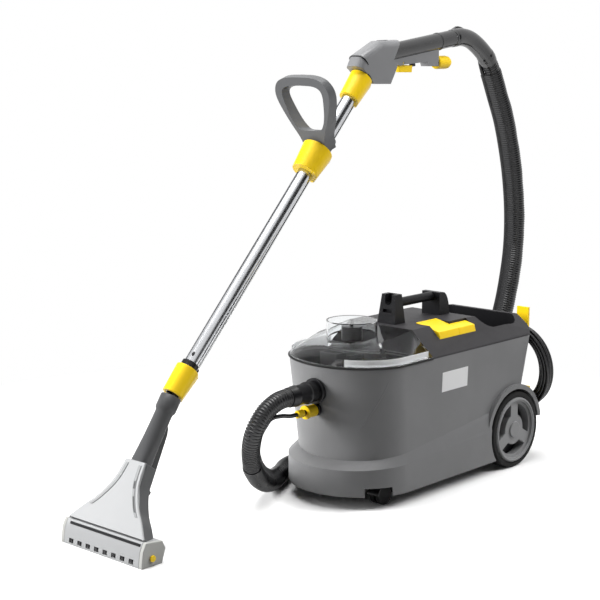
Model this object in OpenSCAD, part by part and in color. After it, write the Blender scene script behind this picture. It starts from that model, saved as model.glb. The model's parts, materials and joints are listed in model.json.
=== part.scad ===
// Spot extractor: a wheeled spray and suction machine with a hose, a wand and a floor nozzle.
// Millimetres, +Z up, +Y to the rear. The machine is modelled about its own centre plane, with the nose at
// y = 0 and the floor at z = 0, and is then moved so that the origin is under the middle of the whole object.
// Left is the -X side and right is the +X side.

/* [Body] */
// Width of the body at its rim
body_w = 314; // [296:2:320]
// Rear of the body at its rim
body_rear = 660; // [650:2:680]
// Front of the nose at the rim
nose_y = 8; // [4:1:12]
// Depth of the rounded nose at the rim
nose_d = 131; // [115:1:145]
// Height of the rim
rim_z = 325; // [318:1:335]
// Wall of the shells
wall = 4; // [3:0.5:5]
// Radius of the rear corners
corner_r = 36; // [20:1:50]
// How much the nose leans back towards its foot
lean_nose = 25; // [15:1:30]
// How much each side leans in towards its foot
lean_side = 7; // [3:0.5:10]
// How much the rear leans in towards its foot
lean_rear = 30; // [22:1:34]
// Height of the inner deck that carries tanks and motor
deck_z = 178; // [177:1:190]
// Rear of the front bay, where the lid meets the cover
bay_y = 240; // [230:1:246]
// Wall between the motor bay and the rear tank
tank_wall_y = 404; // [400:1:420]

/* [Skirt] */
// Width of the chassis pan
skirt_w = 324; // [320:1:330]
// Depth of the pan's rounded nose
skirt_nose = 154; // [140:1:165]
// Height of the pan's underside
skirt_z = 31; // [28:1:36]
// Rear wall of the pan
skirt_rear = 640; // [634:1:646]
// Height of the outer edge of the ledge at the nose
ledge_low = 92; // [86:1:98]
// Height of the inner edge of the ledge at the nose
ledge_high = 103; // [100:1:104]

/* [Top cover] */
// Height of the cover's flat top
cover_z = 386; // [380:1:394]
// Width of the flat top
cover_top_w = 190; // [180:2:200]
// Height of the cover at its rear end
cover_rear_z = 370; // [360:1:376]
// Where the cover starts to fall to the rear
cover_fall_y = 474; // [470:1:478]
// Length of the filling trough
trough_l = 160; // [120:2:164]
// Width of the filling trough
trough_w = 206; // [150:2:210]

/* [Lid and tank] */
// Height of the lid's front shoulder
lid_front_z = 366; // [358:1:372]
// Wall of the clear lid
lid_wall = 3; // [2:0.5:4]
// Radius of the dome
dome_r = 59; // [54:1:62]
// Distance of the dome from the nose
dome_y = 137; // [132:1:145]
// Height of the dome's top
dome_z = 412.6; // [408:0.2:424]
// Thickness of the lid seal
seal_t = 3; // [2:0.5:4]
// Wall of the tanks
tank_wall = 3; // [2:0.5:4]
// Radius of the float cup
float_r = 24; // [18:1:30]
// Height of the float cup
float_h = 32; // [26:1:36]
// How far the float rises
float_travel = 10; // [6:1:12]
// Radius of the float's guide pin
guide_r = 4; // [3:0.5:6]

/* [Carry handle] */
// Front face of the front post
post_y = 262; // [256:1:268]
// Depth of the front post
post_t = 38; // [30:1:42]
// Width of the front post
post_w = 54; // [48:2:60]
// Height of the post's tips above the cover
post_h = 69; // [61:1:79]
// Width of the notch in the post
notch_w = 20; // [12:1:24]
// Radius of the grip bar
bar_r = 11; // [9:0.5:13]
// Height of the grip bar above the cover
bar_h = 45; // [42:1:50]
// Length of the rear post
rear_post_l = 40; // [34:1:46]
// Radius of the handle screws
screw_r = 3; // [2:0.5:4]

/* [Switches] */
// Inner edge of the suction switch
switch_x0 = 54; // [48:1:60]
// Inner edge of the spray switch
spray_x0 = 93; // [80:1:98]
// Outer edge of both switches
switch_x1 = 125; // [116:1:128]
// Front of the suction switch
switch_y0 = 308; // [304:1:316]
// Where the suction switch ends and the spray switch begins
switch_y1 = 386; // [376:1:394]
// Rear of the spray switch
switch_y2 = 450; // [436:1:456]
// How far a switch goes down
switch_travel = 3; // [2:0.5:4]

/* [Rear wheels] */
// Radius of a rear wheel
wheel_r = 95; // [90:1:98]
// Place of the axle along the machine
axle_y = 576; // [570:1:580]
// Width of the tyre
tyre_w = 40; // [32:1:42]
// Radius of the hub
hub_r = 81; // [74:1:84]
// Radius of the axle
axle_r = 6; // [5:0.5:8]
// Outer face of the hub
hub_x = 163; // [160:1:166]
// Radial room around a wheel in its arch
arch_room = 7; // [5:0.5:9]
// Thickness of the wheel arch
arch_t = 12; // [8:1:13]

/* [Casters] */
// Sideways place of a caster's stem
caster_x = 106; // [102:1:108]
// Place of a caster's stem along the machine
caster_y = 107; // [104:1:112]
// Radius of a caster wheel
caster_r = 22.5; // [20:0.5:24]
// How far a caster wheel trails behind its stem
caster_trail = 10; // [8:0.5:12]
// Thickness of one caster wheel
caster_w = 11; // [8:0.5:12]
// Radius of a caster's stem
stem_r = 5; // [4:0.5:6]

/* [Connections] */
// Height of the suction port
port_z = 266; // [264:1:270]
// Inner radius of the port's socket
port_r = 22; // [20:0.5:23]
// Length of the hose cuff in front of the port
cuff_l = 84; // [76:1:84]
// Height of the spray socket
socket_z = 222; // [216:1:224]
// Radius of the coupling collar
collar_r = 14; // [11:0.5:15]

/* [Hoses and cord] */
// Outer diameter of the suction hose over its ribs
hose_d = 42; // [38:1:42]
// Bore of the suction hose
hose_bore = 32; // [28:1:33]
// Height of a rib
rib_h = 2.2; // [1.4:0.2:2.4]
// Number of ribs that show
rib_n = 38; // [24:1:48]
// Length over which the ribs show
rib_l = 236; // [180:2:260]
// Diameter of the spray hose
spray_d = 10; // [8:0.5:10]
// Wall of the sleeve round both hoses
sleeve_t = 1.2; // [0.8:0.2:1.4]
// Diameter of the smooth cuff at the grip
bend_d = 45; // [42:1:46]
// Length of the smooth cuff at the grip
bend_l = 176; // [150:2:200]
// Diameter of the mains cord
cord_d = 7.4; // [6:0.2:7.6]
// Turns of the cord on its hooks
cord_turns = 12.875; // [8.875:1:12.875]
// Gap between neighbouring turns
cord_gap = 0.8; // [0.6:0.1:1]

/* [Cable hooks] */
// Sideways place of the hooks
hook_x = 82; // [76:1:86]
// Height of the upper hook's arm
hook_z = 297; // [294:1:297]
// Height of the lower hook's arm
low_hook_z = 160; // [160:1:164]
// Radius of a hook's arm
hook_r = 10; // [8:0.5:10]
// Height of the upper hook's lip above its arm
lip_h = 81; // [60:1:84]

/* [Wand] */
// Sideways place of the wand
wand_x = -95; // [-98:1:-92]
// Slope of the wand's tube above the floor
wand_tilt = 46.9; // [46.5:0.1:47.3]
// Height of the lower end of the tube's bare length
tube_z = 359; // [356:1:362]
// Place of the lower end of the tube's bare length
tube_y = -286; // [-290:1:-282]
// Bare length of the tube
tube_l = 760; // [756:1:764]
// Radius of the tube
tube_r = 16; // [14:0.5:17]
// Wall of the tube
tube_wall = 1.5; // [1:0.25:2]
// Radius of the spray pipe
pipe_r = 5; // [4:0.5:6]
// Where the clamp sleeve sits along the tube
clamp_s = 535; // [480:1:560]
// Length of a yellow sleeve
sleeve_l = 66; // [60:1:68]
// Radius of a sleeve at its thick end
sleeve_r = 29; // [26:0.5:32]

/* [D handle] */
// Width of the handle over its arms
loop_w = 160; // [150:2:176]
// Height of the loop's top above the tube
loop_h = 180; // [165:1:190]
// Depth of the handle at its foot
loop_d = 38; // [32:1:42]
// Depth of the handle at its top
loop_top_d = 18; // [14:1:22]
// Lean of the loop from the upright
loop_lean = 19.9; // [10:0.1:25]

/* [Grip] */
// Radius of the grip tube
grip_r = 21; // [18:0.5:22]
// Slope of the grip tube
grip_tilt = 7.9; // [6:0.1:10]
// Length of the grip tube
grip_l = 284; // [270:1:284]
// Width of the elbow
elbow_w = 50; // [46:1:56]
// Width of the valve housing
housing_w = 24; // [22:1:28]
// Width of the trigger
trigger_w = 12; // [8:1:14]
// Radius of the flow knob
knob_r = 16.5; // [13:0.5:17]
// Length of the flow knob
knob_l = 58; // [40:1:60]

/* [Floor nozzle] */
// Width of the nozzle over its end caps
nozzle_w = 257; // [220:1:280]
// Thickness of an end cap
cap_t = 10; // [6:1:14]
// Length of the neck
neck_l = 157; // [154:1:160]
// Slope of the neck and hood above the floor
neck_tilt = 55.5; // [55:0.1:56]
// Thickness of the clear hood's fan
fan_t = 36; // [32:1:40]
// Wall of the clear hood
hood_wall = 3; // [2:0.5:4]
// Radius of the duct in the neck
duct_r = 14; // [12:0.5:15]
// Number of notches in the front lip
notch_n = 8; // [4:1:12]

/* [Fits] */
// Radial clearance of a shaft that turns in its bore
run_fit = 0.06; // [0.02:0.01:0.1]
// Room between pieces that move past each other
move_gap = 0.5; // [0.4:0.1:0.8]
// Gap between pieces that are fixed to each other
seat_gap = 0.1; // [0.05:0.05:0.2]

/* [Hidden] */
$fn = 48;
eps = 0.01;
far = 2000;

grey = [0.46, 0.47, 0.48];
dark_grey = [0.30, 0.31, 0.32];
charcoal = [0.14, 0.14, 0.15];
black = [0.06, 0.06, 0.06];
yellow = [0.97, 0.84, 0.10];
chrome = [0.80, 0.81, 0.83];
clear = [0.85, 0.90, 0.92, 0.4];

// Vectors
function unit(v) = v / norm(v);
function mix(a, b, t) = a + (b - a) * t;

// Outlines from above: a half ellipse for the nose, straight sides and rounded rear corners
nose_n = 28;
corner_n = 6;
function plan(hw, y0, nose, y1, r) = concat(
    [for (i = [0:nose_n]) let (a = 180 * i / nose_n) [hw * cos(a), y0 + nose - nose * sin(a)]],
    [for (i = [0:corner_n]) let (a = 90 * i / corner_n) [-hw + r - r * cos(a), y1 - r + r * sin(a)]],
    [for (i = [0:corner_n]) let (a = 90 * i / corner_n) [hw - r + r * sin(a), y1 - r + r * cos(a)]]);
function box_plan(hw, y0, y1, r) = concat(
    [for (i = [0:corner_n]) let (a = 90 * i / corner_n) [hw - r + r * cos(a), y1 - r + r * sin(a)]],
    [for (i = [0:corner_n]) let (a = 90 * i / corner_n) [-hw + r - r * sin(a), y1 - r + r * cos(a)]],
    [for (i = [0:corner_n]) let (a = 90 * i / corner_n) [-hw + r - r * cos(a), y0 + r - r * sin(a)]],
    [for (i = [0:corner_n]) let (a = 90 * i / corner_n) [hw - r + r * sin(a), y0 + r - r * cos(a)]]);
module slice(points, z, t = eps) translate([0, 0, z]) linear_extrude(t) polygon(points);
module sloped_slice(points, z, slope)
    multmatrix([[1, 0, 0, 0], [0, 1, 0, 0], [0, slope, 1, z], [0, 0, 0, 1]])
        linear_extrude(eps) polygon(points);

// A profile in (x, z) drawn along Y, one in (y, z) drawn along X, and round rods along each axis
module along_y(points, y0, y1)
    translate([0, y1, 0]) rotate([90, 0, 0]) linear_extrude(y1 - y0) polygon(points);
module along_x(points, x0, x1)
    translate([x0, 0, 0]) rotate([90, 0, 90]) linear_extrude(x1 - x0) polygon(points);
module rod_x(r, x0, x1, y, z) translate([x0, y, z]) rotate([0, 90, 0]) cylinder(r = r, h = x1 - x0);
module rod_y(r, y0, y1, x, z) translate([x, y0, z]) rotate([-90, 0, 0]) cylinder(r = r, h = y1 - y0);
module rod_z(r, z0, z1, x, y) translate([x, y, z0]) cylinder(r = r, h = z1 - z0);
module block(x0, x1, y0, y1, z0, z1) translate([x0, y0, z0]) cube([x1 - x0, y1 - y0, z1 - z0]);
module both_sides() {
    children();
    mirror([1, 0, 0]) children();
}
module on_side(side) mirror([side < 0 ? 1 : 0, 0, 0]) children();

// Body and pan
body_hw = body_w / 2;
skirt_hw = skirt_w / 2;
ledge_slope = 0.107;
edge_slope = 0.04;
deck_t = 4;
function rim_plan(inset) = plan(body_hw - inset, nose_y + inset, nose_d - inset, body_rear - inset, corner_r);
function foot_plan(inset) = plan(body_hw - lean_side - inset, nose_y + lean_nose + inset, nose_d - inset,
    body_rear - lean_rear - inset, corner_r);
function skirt_plan(inset) = plan(skirt_hw - inset, inset, skirt_nose - inset, skirt_rear - inset, corner_r);
// Front and rear of the body on its centre plane, at a height
function nose_at(z) = nose_y + lean_nose * (rim_z - z) / (rim_z - ledge_high);
foot_rear_z = ledge_high + ledge_slope * (body_rear - lean_rear);
function rear_at(z) = body_rear - lean_rear * (rim_z - z) / (rim_z - foot_rear_z);

// Rear wheels and their arches
arch_r = wheel_r + arch_room;
arch_out = arch_r + arch_t;
tyre_x = hub_x - tyre_w - 1;
well_x = tyre_x - 6;
arch_x = well_x - 6;
arch_face = skirt_hw - 2;
arch_low = 112;
axle_end = hub_x - 13;
module arches(r, x0, x1) both_sides() rod_x(r, x0, x1, axle_y, wheel_r);

// Casters
hood_in = caster_r + 1.5;
hood_out = hood_in + 3;
plate_hw = 2.5;
caster_gap = 1;
hood_hw = plate_hw + caster_gap + caster_w + 1.5;
pocket_r = norm([caster_trail + hood_out, hood_hw]) + 2;
neck_z = caster_r + hood_out + 2;
pocket_z = neck_z + 2;
boss_z = pocket_z + 38;
stem_z = boss_z - 6;
caster_axle_r = 3;
caster_notch_w = 64;

// Connections on the nose
flange_r = 30;
neck_r = port_r + 5;
port_back = nose_at(port_z + flange_r) - 0.2;
port_front = port_back - 7;
port_in = nose_at(port_z + neck_r) + wall + 0.5;
cuff_end = port_front - cuff_l;
socket_flange_r = 14;
socket_r = 9;
socket_back = nose_at(socket_z + socket_flange_r) - 0.2;
socket_front = socket_back - 7;
nipple_r = 6;
collar_l = 31;
collar_travel = 5;
collar_y1 = socket_front - 4;
collar_y0 = collar_y1 - collar_l;
tail_y1 = collar_y0 - collar_travel - 2;
tail_l = 19;

// Rear of the machine
gland_x = 18;
gland_z = 96;
gland_r = 9;
gland_l = 40;
hook_pin_r = 6;
hook_flange_r = 14;
hook_seat = rear_at(hook_z + hook_flange_r) + 0.4;
lip_y = body_rear + 52;
lip_t = 7;
lip_hw = 1.7 * hook_r;
hook_foot_z = low_hook_z - 60;
low_lip_y = lip_y + 12;

// The wand's frame: the origin at the lower end of the bare tube, +Y up along the tube
module on_wand() translate([wand_x, tube_y, tube_z]) rotate([wand_tilt, 0, 0]) children();
function wand_point(s, z) = [wand_x, tube_y + s * cos(wand_tilt) - z * sin(wand_tilt),
    tube_z + s * sin(wand_tilt) + z * cos(wand_tilt)];
tube_low = -sleeve_l - 9;
elbow_s = tube_l + sleeve_l - 2;
tube_top = elbow_s + 26;
pipe_off = tube_r + pipe_r + 1;
slide_fit = 0.3;
loop_s = clamp_s + sleeve_l + 1.5;
module at_elbow() translate(wand_point(elbow_s, 0)) children();
// Places in the elbow's frame: the seat of the flow knob, and the spray hose's inlet beside it
knob_y = 284;
inlet_at = [-housing_w / 2 - spray_d / 2 - 0.7, knob_y - 16, 46];
butt_gap = 0.8;
inlet = wand_point(elbow_s, 0) + inlet_at + [0, butt_gap, 0];

// The neck's frame: the origin at the neck's lower end, +Y up along the neck
neck_top = wand_point(-sleeve_l - 14, 0);
neck_foot = neck_top - neck_l * [0, cos(neck_tilt), sin(neck_tilt)];
module on_neck() translate(neck_foot) rotate([neck_tilt, 0, 0]) children();
foot_top = 50;
foot_y = neck_foot.y - (neck_foot.z - foot_top) / tan(neck_tilt);
foot_reach = 32;
jet_off = 34;
knob_proud = 4;

// Origin under the middle of everything but the hoses and the cord
x_low = wand_x - nozzle_w / 2 - knob_proud;
y_low = foot_y - foot_reach;
y_high = low_lip_y + lip_t;
mid = [(x_low + hub_x) / 2, (y_low + y_high) / 2, 0];
module placed() translate(-mid) children();

// Tubes along a route: a smooth curve through the route's points, measured along its length
function curve_point(a, b, c, d, t) = 0.5 * (2 * b + (c - a) * t + (2 * a - 5 * b + 4 * c - d) * t * t
    + (3 * b - a - 3 * c + d) * t * t * t);
curve_n = 10;
function curve(p) = let (n = len(p), e = concat([2 * p[0] - p[1]], p, [2 * p[n - 1] - p[n - 2]])) concat(
    [for (i = [0:n - 2]) for (k = [0:curve_n - 1])
        curve_point(e[i], e[i + 1], e[i + 2], e[i + 3], k / curve_n)],
    [p[n - 1]]);
function step_on(q, i) = i + 1 < len(q) ? norm(q[i + 1] - q[i]) : 0;
function lengths(q) = [for (i = 0, s = 0; i < len(q); s = s + step_on(q, i), i = i + 1) s];
function place_on(q, along, s) = let (i = max([for (k = [0:len(q) - 2]) if (along[k] <= s || k == 0) k]))
    mix(q[i], q[i + 1], (s - along[i]) / (along[i + 1] - along[i]));
look = 4;
function heading_on(q, along, s) = let (last = along[len(q) - 1])
    unit(place_on(q, along, min(s + look, last)) - place_on(q, along, max(s - look, 0)));
function headings(q) = let (n = len(q)) [for (i = [0:n - 1]) unit(q[min(i + 1, n - 1)] - q[max(i - 1, 0)])];
function round_section(r, sides) = [for (k = [0:sides - 1]) r * [cos(360 * k / sides), sin(360 * k / sides)]];
// A ring of a tube: the section set square to the heading, with its first axis square to a reference as well
function ring(centre, heading, reference, section) =
    let (u = unit(cross(heading, reference)), v = cross(heading, u))
    [for (p = section) centre + p.x * u + p.y * v];
function band(i, j, n) = [for (k = [0:n - 1]) let (m = (k + 1) % n)
    each [[i * n + k, j * n + k, j * n + m], [i * n + k, j * n + m, i * n + m]]];
module solid_tube(rings) {
    n = len(rings[0]);
    last = len(rings) - 1;
    polyhedron([for (r = rings) each r], concat(
        [for (i = [0:last - 1]) each band(i, i + 1, n)],
        [for (k = [1:n - 2]) [0, k, k + 1]],
        [for (k = [1:n - 2]) [last * n, last * n + k + 1, last * n + k]]));
}
module hollow_tube(outer, inner) {
    n = len(outer[0]);
    rings = concat(outer, [for (i = [len(inner) - 1:-1:0]) inner[i]]);
    count = len(rings);
    polyhedron([for (r = rings) each r], [for (i = [0:count - 1]) each band(i, (i + 1) % count, n)]);
}

// Route of the suction hose, from the cuff at the nose, along the floor on the left, to the grip
hose_route = [[0, -81, 266], [0, -92, 266], [0, -118, 262], [-4, -149, 245], [-9, -171, 217],
    [-18, -175, 185], [-36, -161, 148], [-62, -128, 102], [-90, -78, 62], [-120, -20, 34], [-150, 38, 24],
    [-180, 98, 24], [-194, 170, 24], [-202, 250, 24], [-206, 350, 24], [-206, 450, 24], [-202, 550, 24],
    [-194, 640, 26], [-174, 730, 46], [-152, 800, 96], [-130, 850, 166], [-112, 882, 250], [-100, 904, 340],
    [-95, 921, 428], [-95, 933, 505], [-95, 933, 590], [-95, 922, 675], [-95, 903, 755], [-95, 874, 840],
    [-95, 839, 910], [-95, 806, 973], [-95, 780, 1005], [-95, 745, 1032], [-95, 706, 1053], [-95, 668, 1058],
    [-95, 634.5, 1054]];
hose_q = curve(hose_route);
hose_s = lengths(hose_q);
hose_len = hose_s[len(hose_s) - 1];
hose_axis = [1, 0, 0];
hose_sides = 8;
hose_end = hose_len - bend_l;
sleeve_end = hose_end - 30;
sleeve_n = 64;
bore_step = 20;
bend_n = 12;
function hose_ring(s, section) =
    ring(place_on(hose_q, hose_s, s), heading_on(hose_q, hose_s, s), hose_axis, section);
rib_p = rib_l / rib_n;
sleeve_stops = [for (i = [0:sleeve_n]) mix(rib_l + 2, sleeve_end, i / sleeve_n)];
// The spray hose runs beside the suction hose, on the inside of its bends. It turns outwards as the hose
// rises, and goes round to the far side of the smooth cuff
rise_from = 0.5;
rise_to = 0.6;
rise_turn = 47;
far_turn = 90;
far_run = 60;
function ramp(t) = max(0, min(1, t));
function side_turn(s) = rise_turn * ramp((s / hose_len - rise_from) / (rise_to - rise_from))
    + far_turn * ramp((s - sleeve_end) / far_run);
function turned(section, a) = [for (p = section) [p.x * cos(a) + p.y * sin(a), p.y * cos(a) - p.x * sin(a)]];
spray_off = hose_d / 2 + spray_d / 2 + 0.5;
cuff_off = bend_d / 2 + spray_d / 2 + 3;
function beside(s, off) = hose_ring(s, turned([[-off, 0]], side_turn(s)))[0];
spray_start = [[0, -74, 223], [0, -98, 228]];
spray_finish = [[-125, 640, 1052], [-123, 612, 1040], [-118, 588, 1022], [-114, 566, 1010]];

// Route of the mains cord: out of the gland and up to the hank, then from the hank down to the plug
hank_centre = [84, 228];
hank_semi = [102, 111];
hank_y = 666;
hank_top_z = 330;
hank_tilt = 0.13;
hank_layers = 4;
hank_from = 225;
turn_n = 24;
pitch = cord_d + cord_gap;
layer_turns = cord_turns / hank_layers;
// Turns gone inwards, and layers gone towards the machine, after t turns
function inward(t) = let (m = t - 2 * layer_turns * floor(t / (2 * layer_turns)))
    layer_turns - abs(m - layer_turns);
function layer_of(t) = let (k = max(1, min(hank_layers - 1, round(t / layer_turns))))
    k - 1 + max(0, min(1, 2 * (t - k * layer_turns) + 0.5));
function hank_point(t) = let (a = hank_from - 360 * t, draw = pitch * inward(t),
    z = hank_centre.y + (hank_semi.y - draw) * sin(a))
    [hank_centre.x + (hank_semi.x - draw) * cos(a),
     hank_y + pitch * (hank_layers - 1 - layer_of(t)) + hank_tilt * (hank_top_z - z), z];
hank_count = ceil(cord_turns * turn_n);
hank_loops = [for (i = [0:hank_count]) hank_point(cord_turns * i / hank_count)];
hank_in = unit(hank_loops[1] - hank_loops[0]);
hank_out = unit(hank_loops[hank_count] - hank_loops[hank_count - 1]);
hank_points = concat([hank_loops[0] - cord_d * hank_in], hank_loops,
    [hank_loops[hank_count] + cord_d * hank_out]);
hank_start = hank_points[0];
hank_end = hank_points[hank_count + 2];
// Least gap between two stretches of the hank that are at least half a turn apart
half_turn = turn_n / 2;
hank_gap = min([for (i = [0:hank_count + 2 - half_turn]) min([for (j = [i + half_turn:hank_count + 2])
    norm(hank_points[i] - hank_points[j])])]) - cord_d;
echo(hank_least_gap = hank_gap);
cord_sides = 8;
hank_sides = 6;
cord_step = 5;
lead_route = [[gland_x, 680, gland_z], [gland_x, 692, 96], [21, 704, 100], [25, 713, 110], [26, 716.5, 124]];
lead_in = 9;
lead_q = curve(concat(lead_route, [hank_start - lead_in * hank_in, hank_start - seat_gap * hank_in]));
tail_route = [[50, 693, 112], [42, 692, 98], [41, 692, 84]];
tail_q = curve(concat([hank_end], tail_route));
plug_top = tail_route[2];
plug_l = 42;
plug_pin_r = 2.4;
plug_pin_l = 19;
plug_pin_gap = 19;

// Chassis
module pan_solid(inset) {
    hull() {
        slice(skirt_plan(inset), skirt_z + inset);
        sloped_slice(skirt_plan(inset), ledge_low - inset, edge_slope);
    }
    hull() {
        sloped_slice(skirt_plan(inset), ledge_low - inset - eps, edge_slope);
        sloped_slice(foot_plan(inset), ledge_high - eps + (inset > 0 ? 1 : 0), ledge_slope);
    }
}
module caster_places() both_sides() translate([caster_x, caster_y, 0]) children();
module base_pan() color(grey) placed() difference() {
    union() {
        pan_solid(0);
        intersection() {
            arches(arch_out, arch_x, arch_face);
            block(-far, far, 0, far, arch_low, far);
        }
    }
    difference() {
        pan_solid(wall);
        arches(arch_r + wall, arch_x, far);
        caster_places() cylinder(r = pocket_r + wall, h = pocket_z + wall);
        caster_places() cylinder(r = stem_r + 8, h = boss_z);
        rod_y(gland_r + 6, skirt_rear - 16, far, gland_x, gland_z);
    }
    arches(arch_r, well_x, far);
    caster_places() cylinder(r = pocket_r, h = pocket_z);
    caster_places() cylinder(r = stem_r + run_fit, h = boss_z - wall);
    caster_places() rotate([0, 0, 43])
        block(-caster_notch_w / 2, caster_notch_w / 2, -far, 0, 0, pocket_z - 2);
    rod_x(axle_r + seat_gap, -far, far, axle_y, wheel_r);
    rod_y(gland_r + seat_gap, skirt_rear - 20, far, gland_x, gland_z);
}

module body_solid(inset) hull() {
    sloped_slice(foot_plan(inset), ledge_high - (inset > 0 ? 1 : 0), ledge_slope);
    slice(rim_plan(inset), rim_z - eps + (inset > 0 ? 1 : 0));
}
module body_shell() color(grey) placed() difference() {
    body_solid(0);
    difference() {
        body_solid(wall);
        block(-far, far, 0, far, deck_z - deck_t, deck_z);
        block(-far, far, bay_y, bay_y + wall, deck_z - eps, rim_z);
        block(-far, far, tank_wall_y, tank_wall_y + wall, deck_z - eps, rim_z);
    }
    arches(arch_out + seat_gap, arch_x - seat_gap, far);
    rod_y(neck_r + seat_gap, -far, bay_y / 2, 0, port_z);
    rod_y(socket_r + seat_gap, -far, bay_y / 2, 0, socket_z);
    rod_y(hook_pin_r + run_fit, body_rear - 3 * lean_rear, far, hook_x, hook_z);
}

// Top cover
cover_top_hw = cover_top_w / 2;
cover_rear_hw = cover_top_hw + 5;
shoulder_z = rim_z + 4;
function cover_profile(top_hw, z, inset) =
    let (run = body_hw - top_hw, rise = z - shoulder_z, n = norm([run, rise]),
        dip = inset * (n - rise) / run, draw = inset * (n - run) / rise, base = rim_z - (inset > 0 ? 1 : 0))
    [[-body_hw + inset, base], [-body_hw + inset, shoulder_z - dip], [-top_hw + draw, z - inset],
     [top_hw - draw, z - inset], [body_hw - inset, shoulder_z - dip], [body_hw - inset, base]];
module cover_solid(inset) {
    along_y(cover_profile(cover_top_hw, cover_z, inset), bay_y + inset, cover_fall_y + eps);
    intersection() {
        hull() {
            along_y(cover_profile(cover_top_hw, cover_z, inset), cover_fall_y, cover_fall_y + eps);
            along_y(cover_profile(cover_rear_hw, cover_rear_z, inset),
                body_rear - inset - eps, body_rear - inset);
        }
        linear_extrude(far) polygon(rim_plan(inset));
    }
}
trough_y1 = body_rear - 16;
trough_y0 = trough_y1 - trough_l;
trough_corner = 36;
// Height of the cover's right shoulder, and of the floor of the switch pocket below it
knee = cover_top_hw - 4;
shoulder_fall = (cover_z - shoulder_z) / (body_hw - cover_top_hw);
function shoulder_at(x) = cover_z - max(0, x - cover_top_hw) * shoulder_fall;
function floor_at(x, depth) = cover_z - depth - max(0, x - knee) * shoulder_fall;
switch_depth = 6;
pocket_depth = switch_depth + switch_travel + 1.5;
function pocket_profile(x0, grow, depth) = concat([[x0 - grow, far], [x0 - grow, floor_at(x0 - grow, depth)]],
    x0 - grow < knee ? [[knee, floor_at(knee, depth)]] : [],
    [[switch_x1 + grow, floor_at(switch_x1 + grow, depth)], [switch_x1 + grow, far]]);
module switch_pockets(grow, depth) {
    along_y(pocket_profile(switch_x0, grow, depth), switch_y0 - grow, switch_y1 + (grow - move_gap));
    along_y(pocket_profile(spray_x0, grow, depth), switch_y1 - eps, switch_y2 + grow);
}
rear_post_y = cover_fall_y - rear_post_l;
screw_places = [[-post_w / 4, post_y + post_t / 2], [post_w / 4, post_y + post_t / 2],
    [-post_w / 4, rear_post_y + rear_post_l / 2], [post_w / 4, rear_post_y + rear_post_l / 2]];
screw_deep = 12;
module trough(grow) linear_extrude(far)
    polygon(box_plan(trough_w / 2 + grow, trough_y0 - grow, trough_y1 + grow, trough_corner + grow));
module top_cover() color(charcoal) placed() difference() {
    cover_solid(0);
    difference() {
        cover_solid(wall);
        trough(wall);
        switch_pockets(move_gap + wall, pocket_depth + wall);
    }
    trough(0);
    switch_pockets(move_gap, pocket_depth);
    for (p = screw_places) rod_z(screw_r + seat_gap, cover_z - 3 * wall, far, p.x, p.y);
}

// Tanks
tank_top = rim_z - 5;
tank_low = deck_z + 0.3;
bay_gap = 1;
module tank_solid(y0, y1, inset, lift) intersection() {
    hull() {
        slice(foot_plan(wall + 1.5 + inset), tank_low + lift);
        slice(rim_plan(wall + 2.5 + inset), tank_top - eps + (lift > 0 ? 1 : 0));
    }
    block(-far, far, y0 + inset, y1 - inset, 0, far);
}
fresh_y = tank_wall_y + wall + bay_gap;
module fresh_tank() color(dark_grey) placed() difference() {
    tank_solid(fresh_y, body_rear, 0, 0);
    difference() {
        tank_solid(fresh_y, body_rear, tank_wall, tank_wall);
        arches(arch_out + 4 + tank_wall, arch_x - 5 - tank_wall, far);
    }
    arches(arch_out + 4, arch_x - 5, far);
}
inlet_r = port_r + 2;
module dirty_tank() color(dark_grey) placed() difference() {
    tank_solid(-far, bay_y - bay_gap, 0, 0);
    tank_solid(-far, bay_y - bay_gap, tank_wall, tank_wall);
    rod_y(inlet_r + seat_gap, -far, bay_y / 2, 0, port_z);
}
duct_y0 = nose_at(port_z) + 40;
duct_y1 = duct_y0 + 34;
duct_hw = inlet_r + 1;
duct_top = rim_z + 22;
module inlet_elbow() color(black) placed() difference() {
    union() {
        rod_y(inlet_r, nose_at(port_z) + 9, duct_y0 + 1, 0, port_z);
        block(-duct_hw, duct_hw, duct_y0, duct_y1, port_z - duct_hw, duct_top);
    }
    rod_y(inlet_r - 2, 0, duct_y0 + 2, 0, port_z);
    block(-duct_hw + 2, duct_hw - 2, duct_y0 + 2, duct_y1 - 2, port_z - duct_hw + 2, duct_top + 1);
}
basket_l = 56;
basket_h = 60;
basket_t = 2.5;
module lint_filter() color(dark_grey) placed() difference() {
    block(-duct_hw - 6, duct_hw + 6, duct_y1, duct_y1 + basket_l, duct_top - 8 - basket_h, duct_top - 8);
    block(-duct_hw - 6 + basket_t, duct_hw + 6 - basket_t, duct_y1 + basket_t, duct_y1 + basket_l - basket_t,
        duct_top - 8 - basket_h + basket_t, far);
    for (i = [0:5])
        block(-far, far, duct_y1 + 8 + i * 7, duct_y1 + 11 + i * 7, duct_top - basket_h, duct_top - 18);
}

// Lid
lid_y1 = bay_y - move_gap;
seal_z = rim_z + 0.3;
lid_z = seal_z + seal_t;
lip_z = lid_z + 3;
plateau_y = 60;
lid_slope = (cover_z - lid_front_z) / (bay_y - plateau_y);
function plateau(inset) = plan(cover_top_hw - inset, plateau_y + inset, 82 - inset, lid_y1 - inset, 1);
module bay_outline(inset, z, t) intersection() {
    slice(rim_plan(inset), z, t);
    block(-far, far, -far, lid_y1 - inset, 0, far);
}
module lid_solid(inset) hull() {
    bay_outline(inset, inset > 0 ? lid_z - 1 : lid_z, inset > 0 ? 2 : lip_z - lid_z);
    sloped_slice(plateau(inset), lid_front_z - lid_slope * plateau_y - inset - eps, lid_slope);
}
module tank_lid() color(clear) placed() difference() {
    union() {
        lid_solid(0);
        rod_z(dome_r, lid_z + 20, dome_z, 0, dome_y);
    }
    lid_solid(lid_wall);
    rod_z(dome_r - lid_wall, 0, dome_z - lid_wall, 0, dome_y);
}
seal_w = 10;
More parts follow.
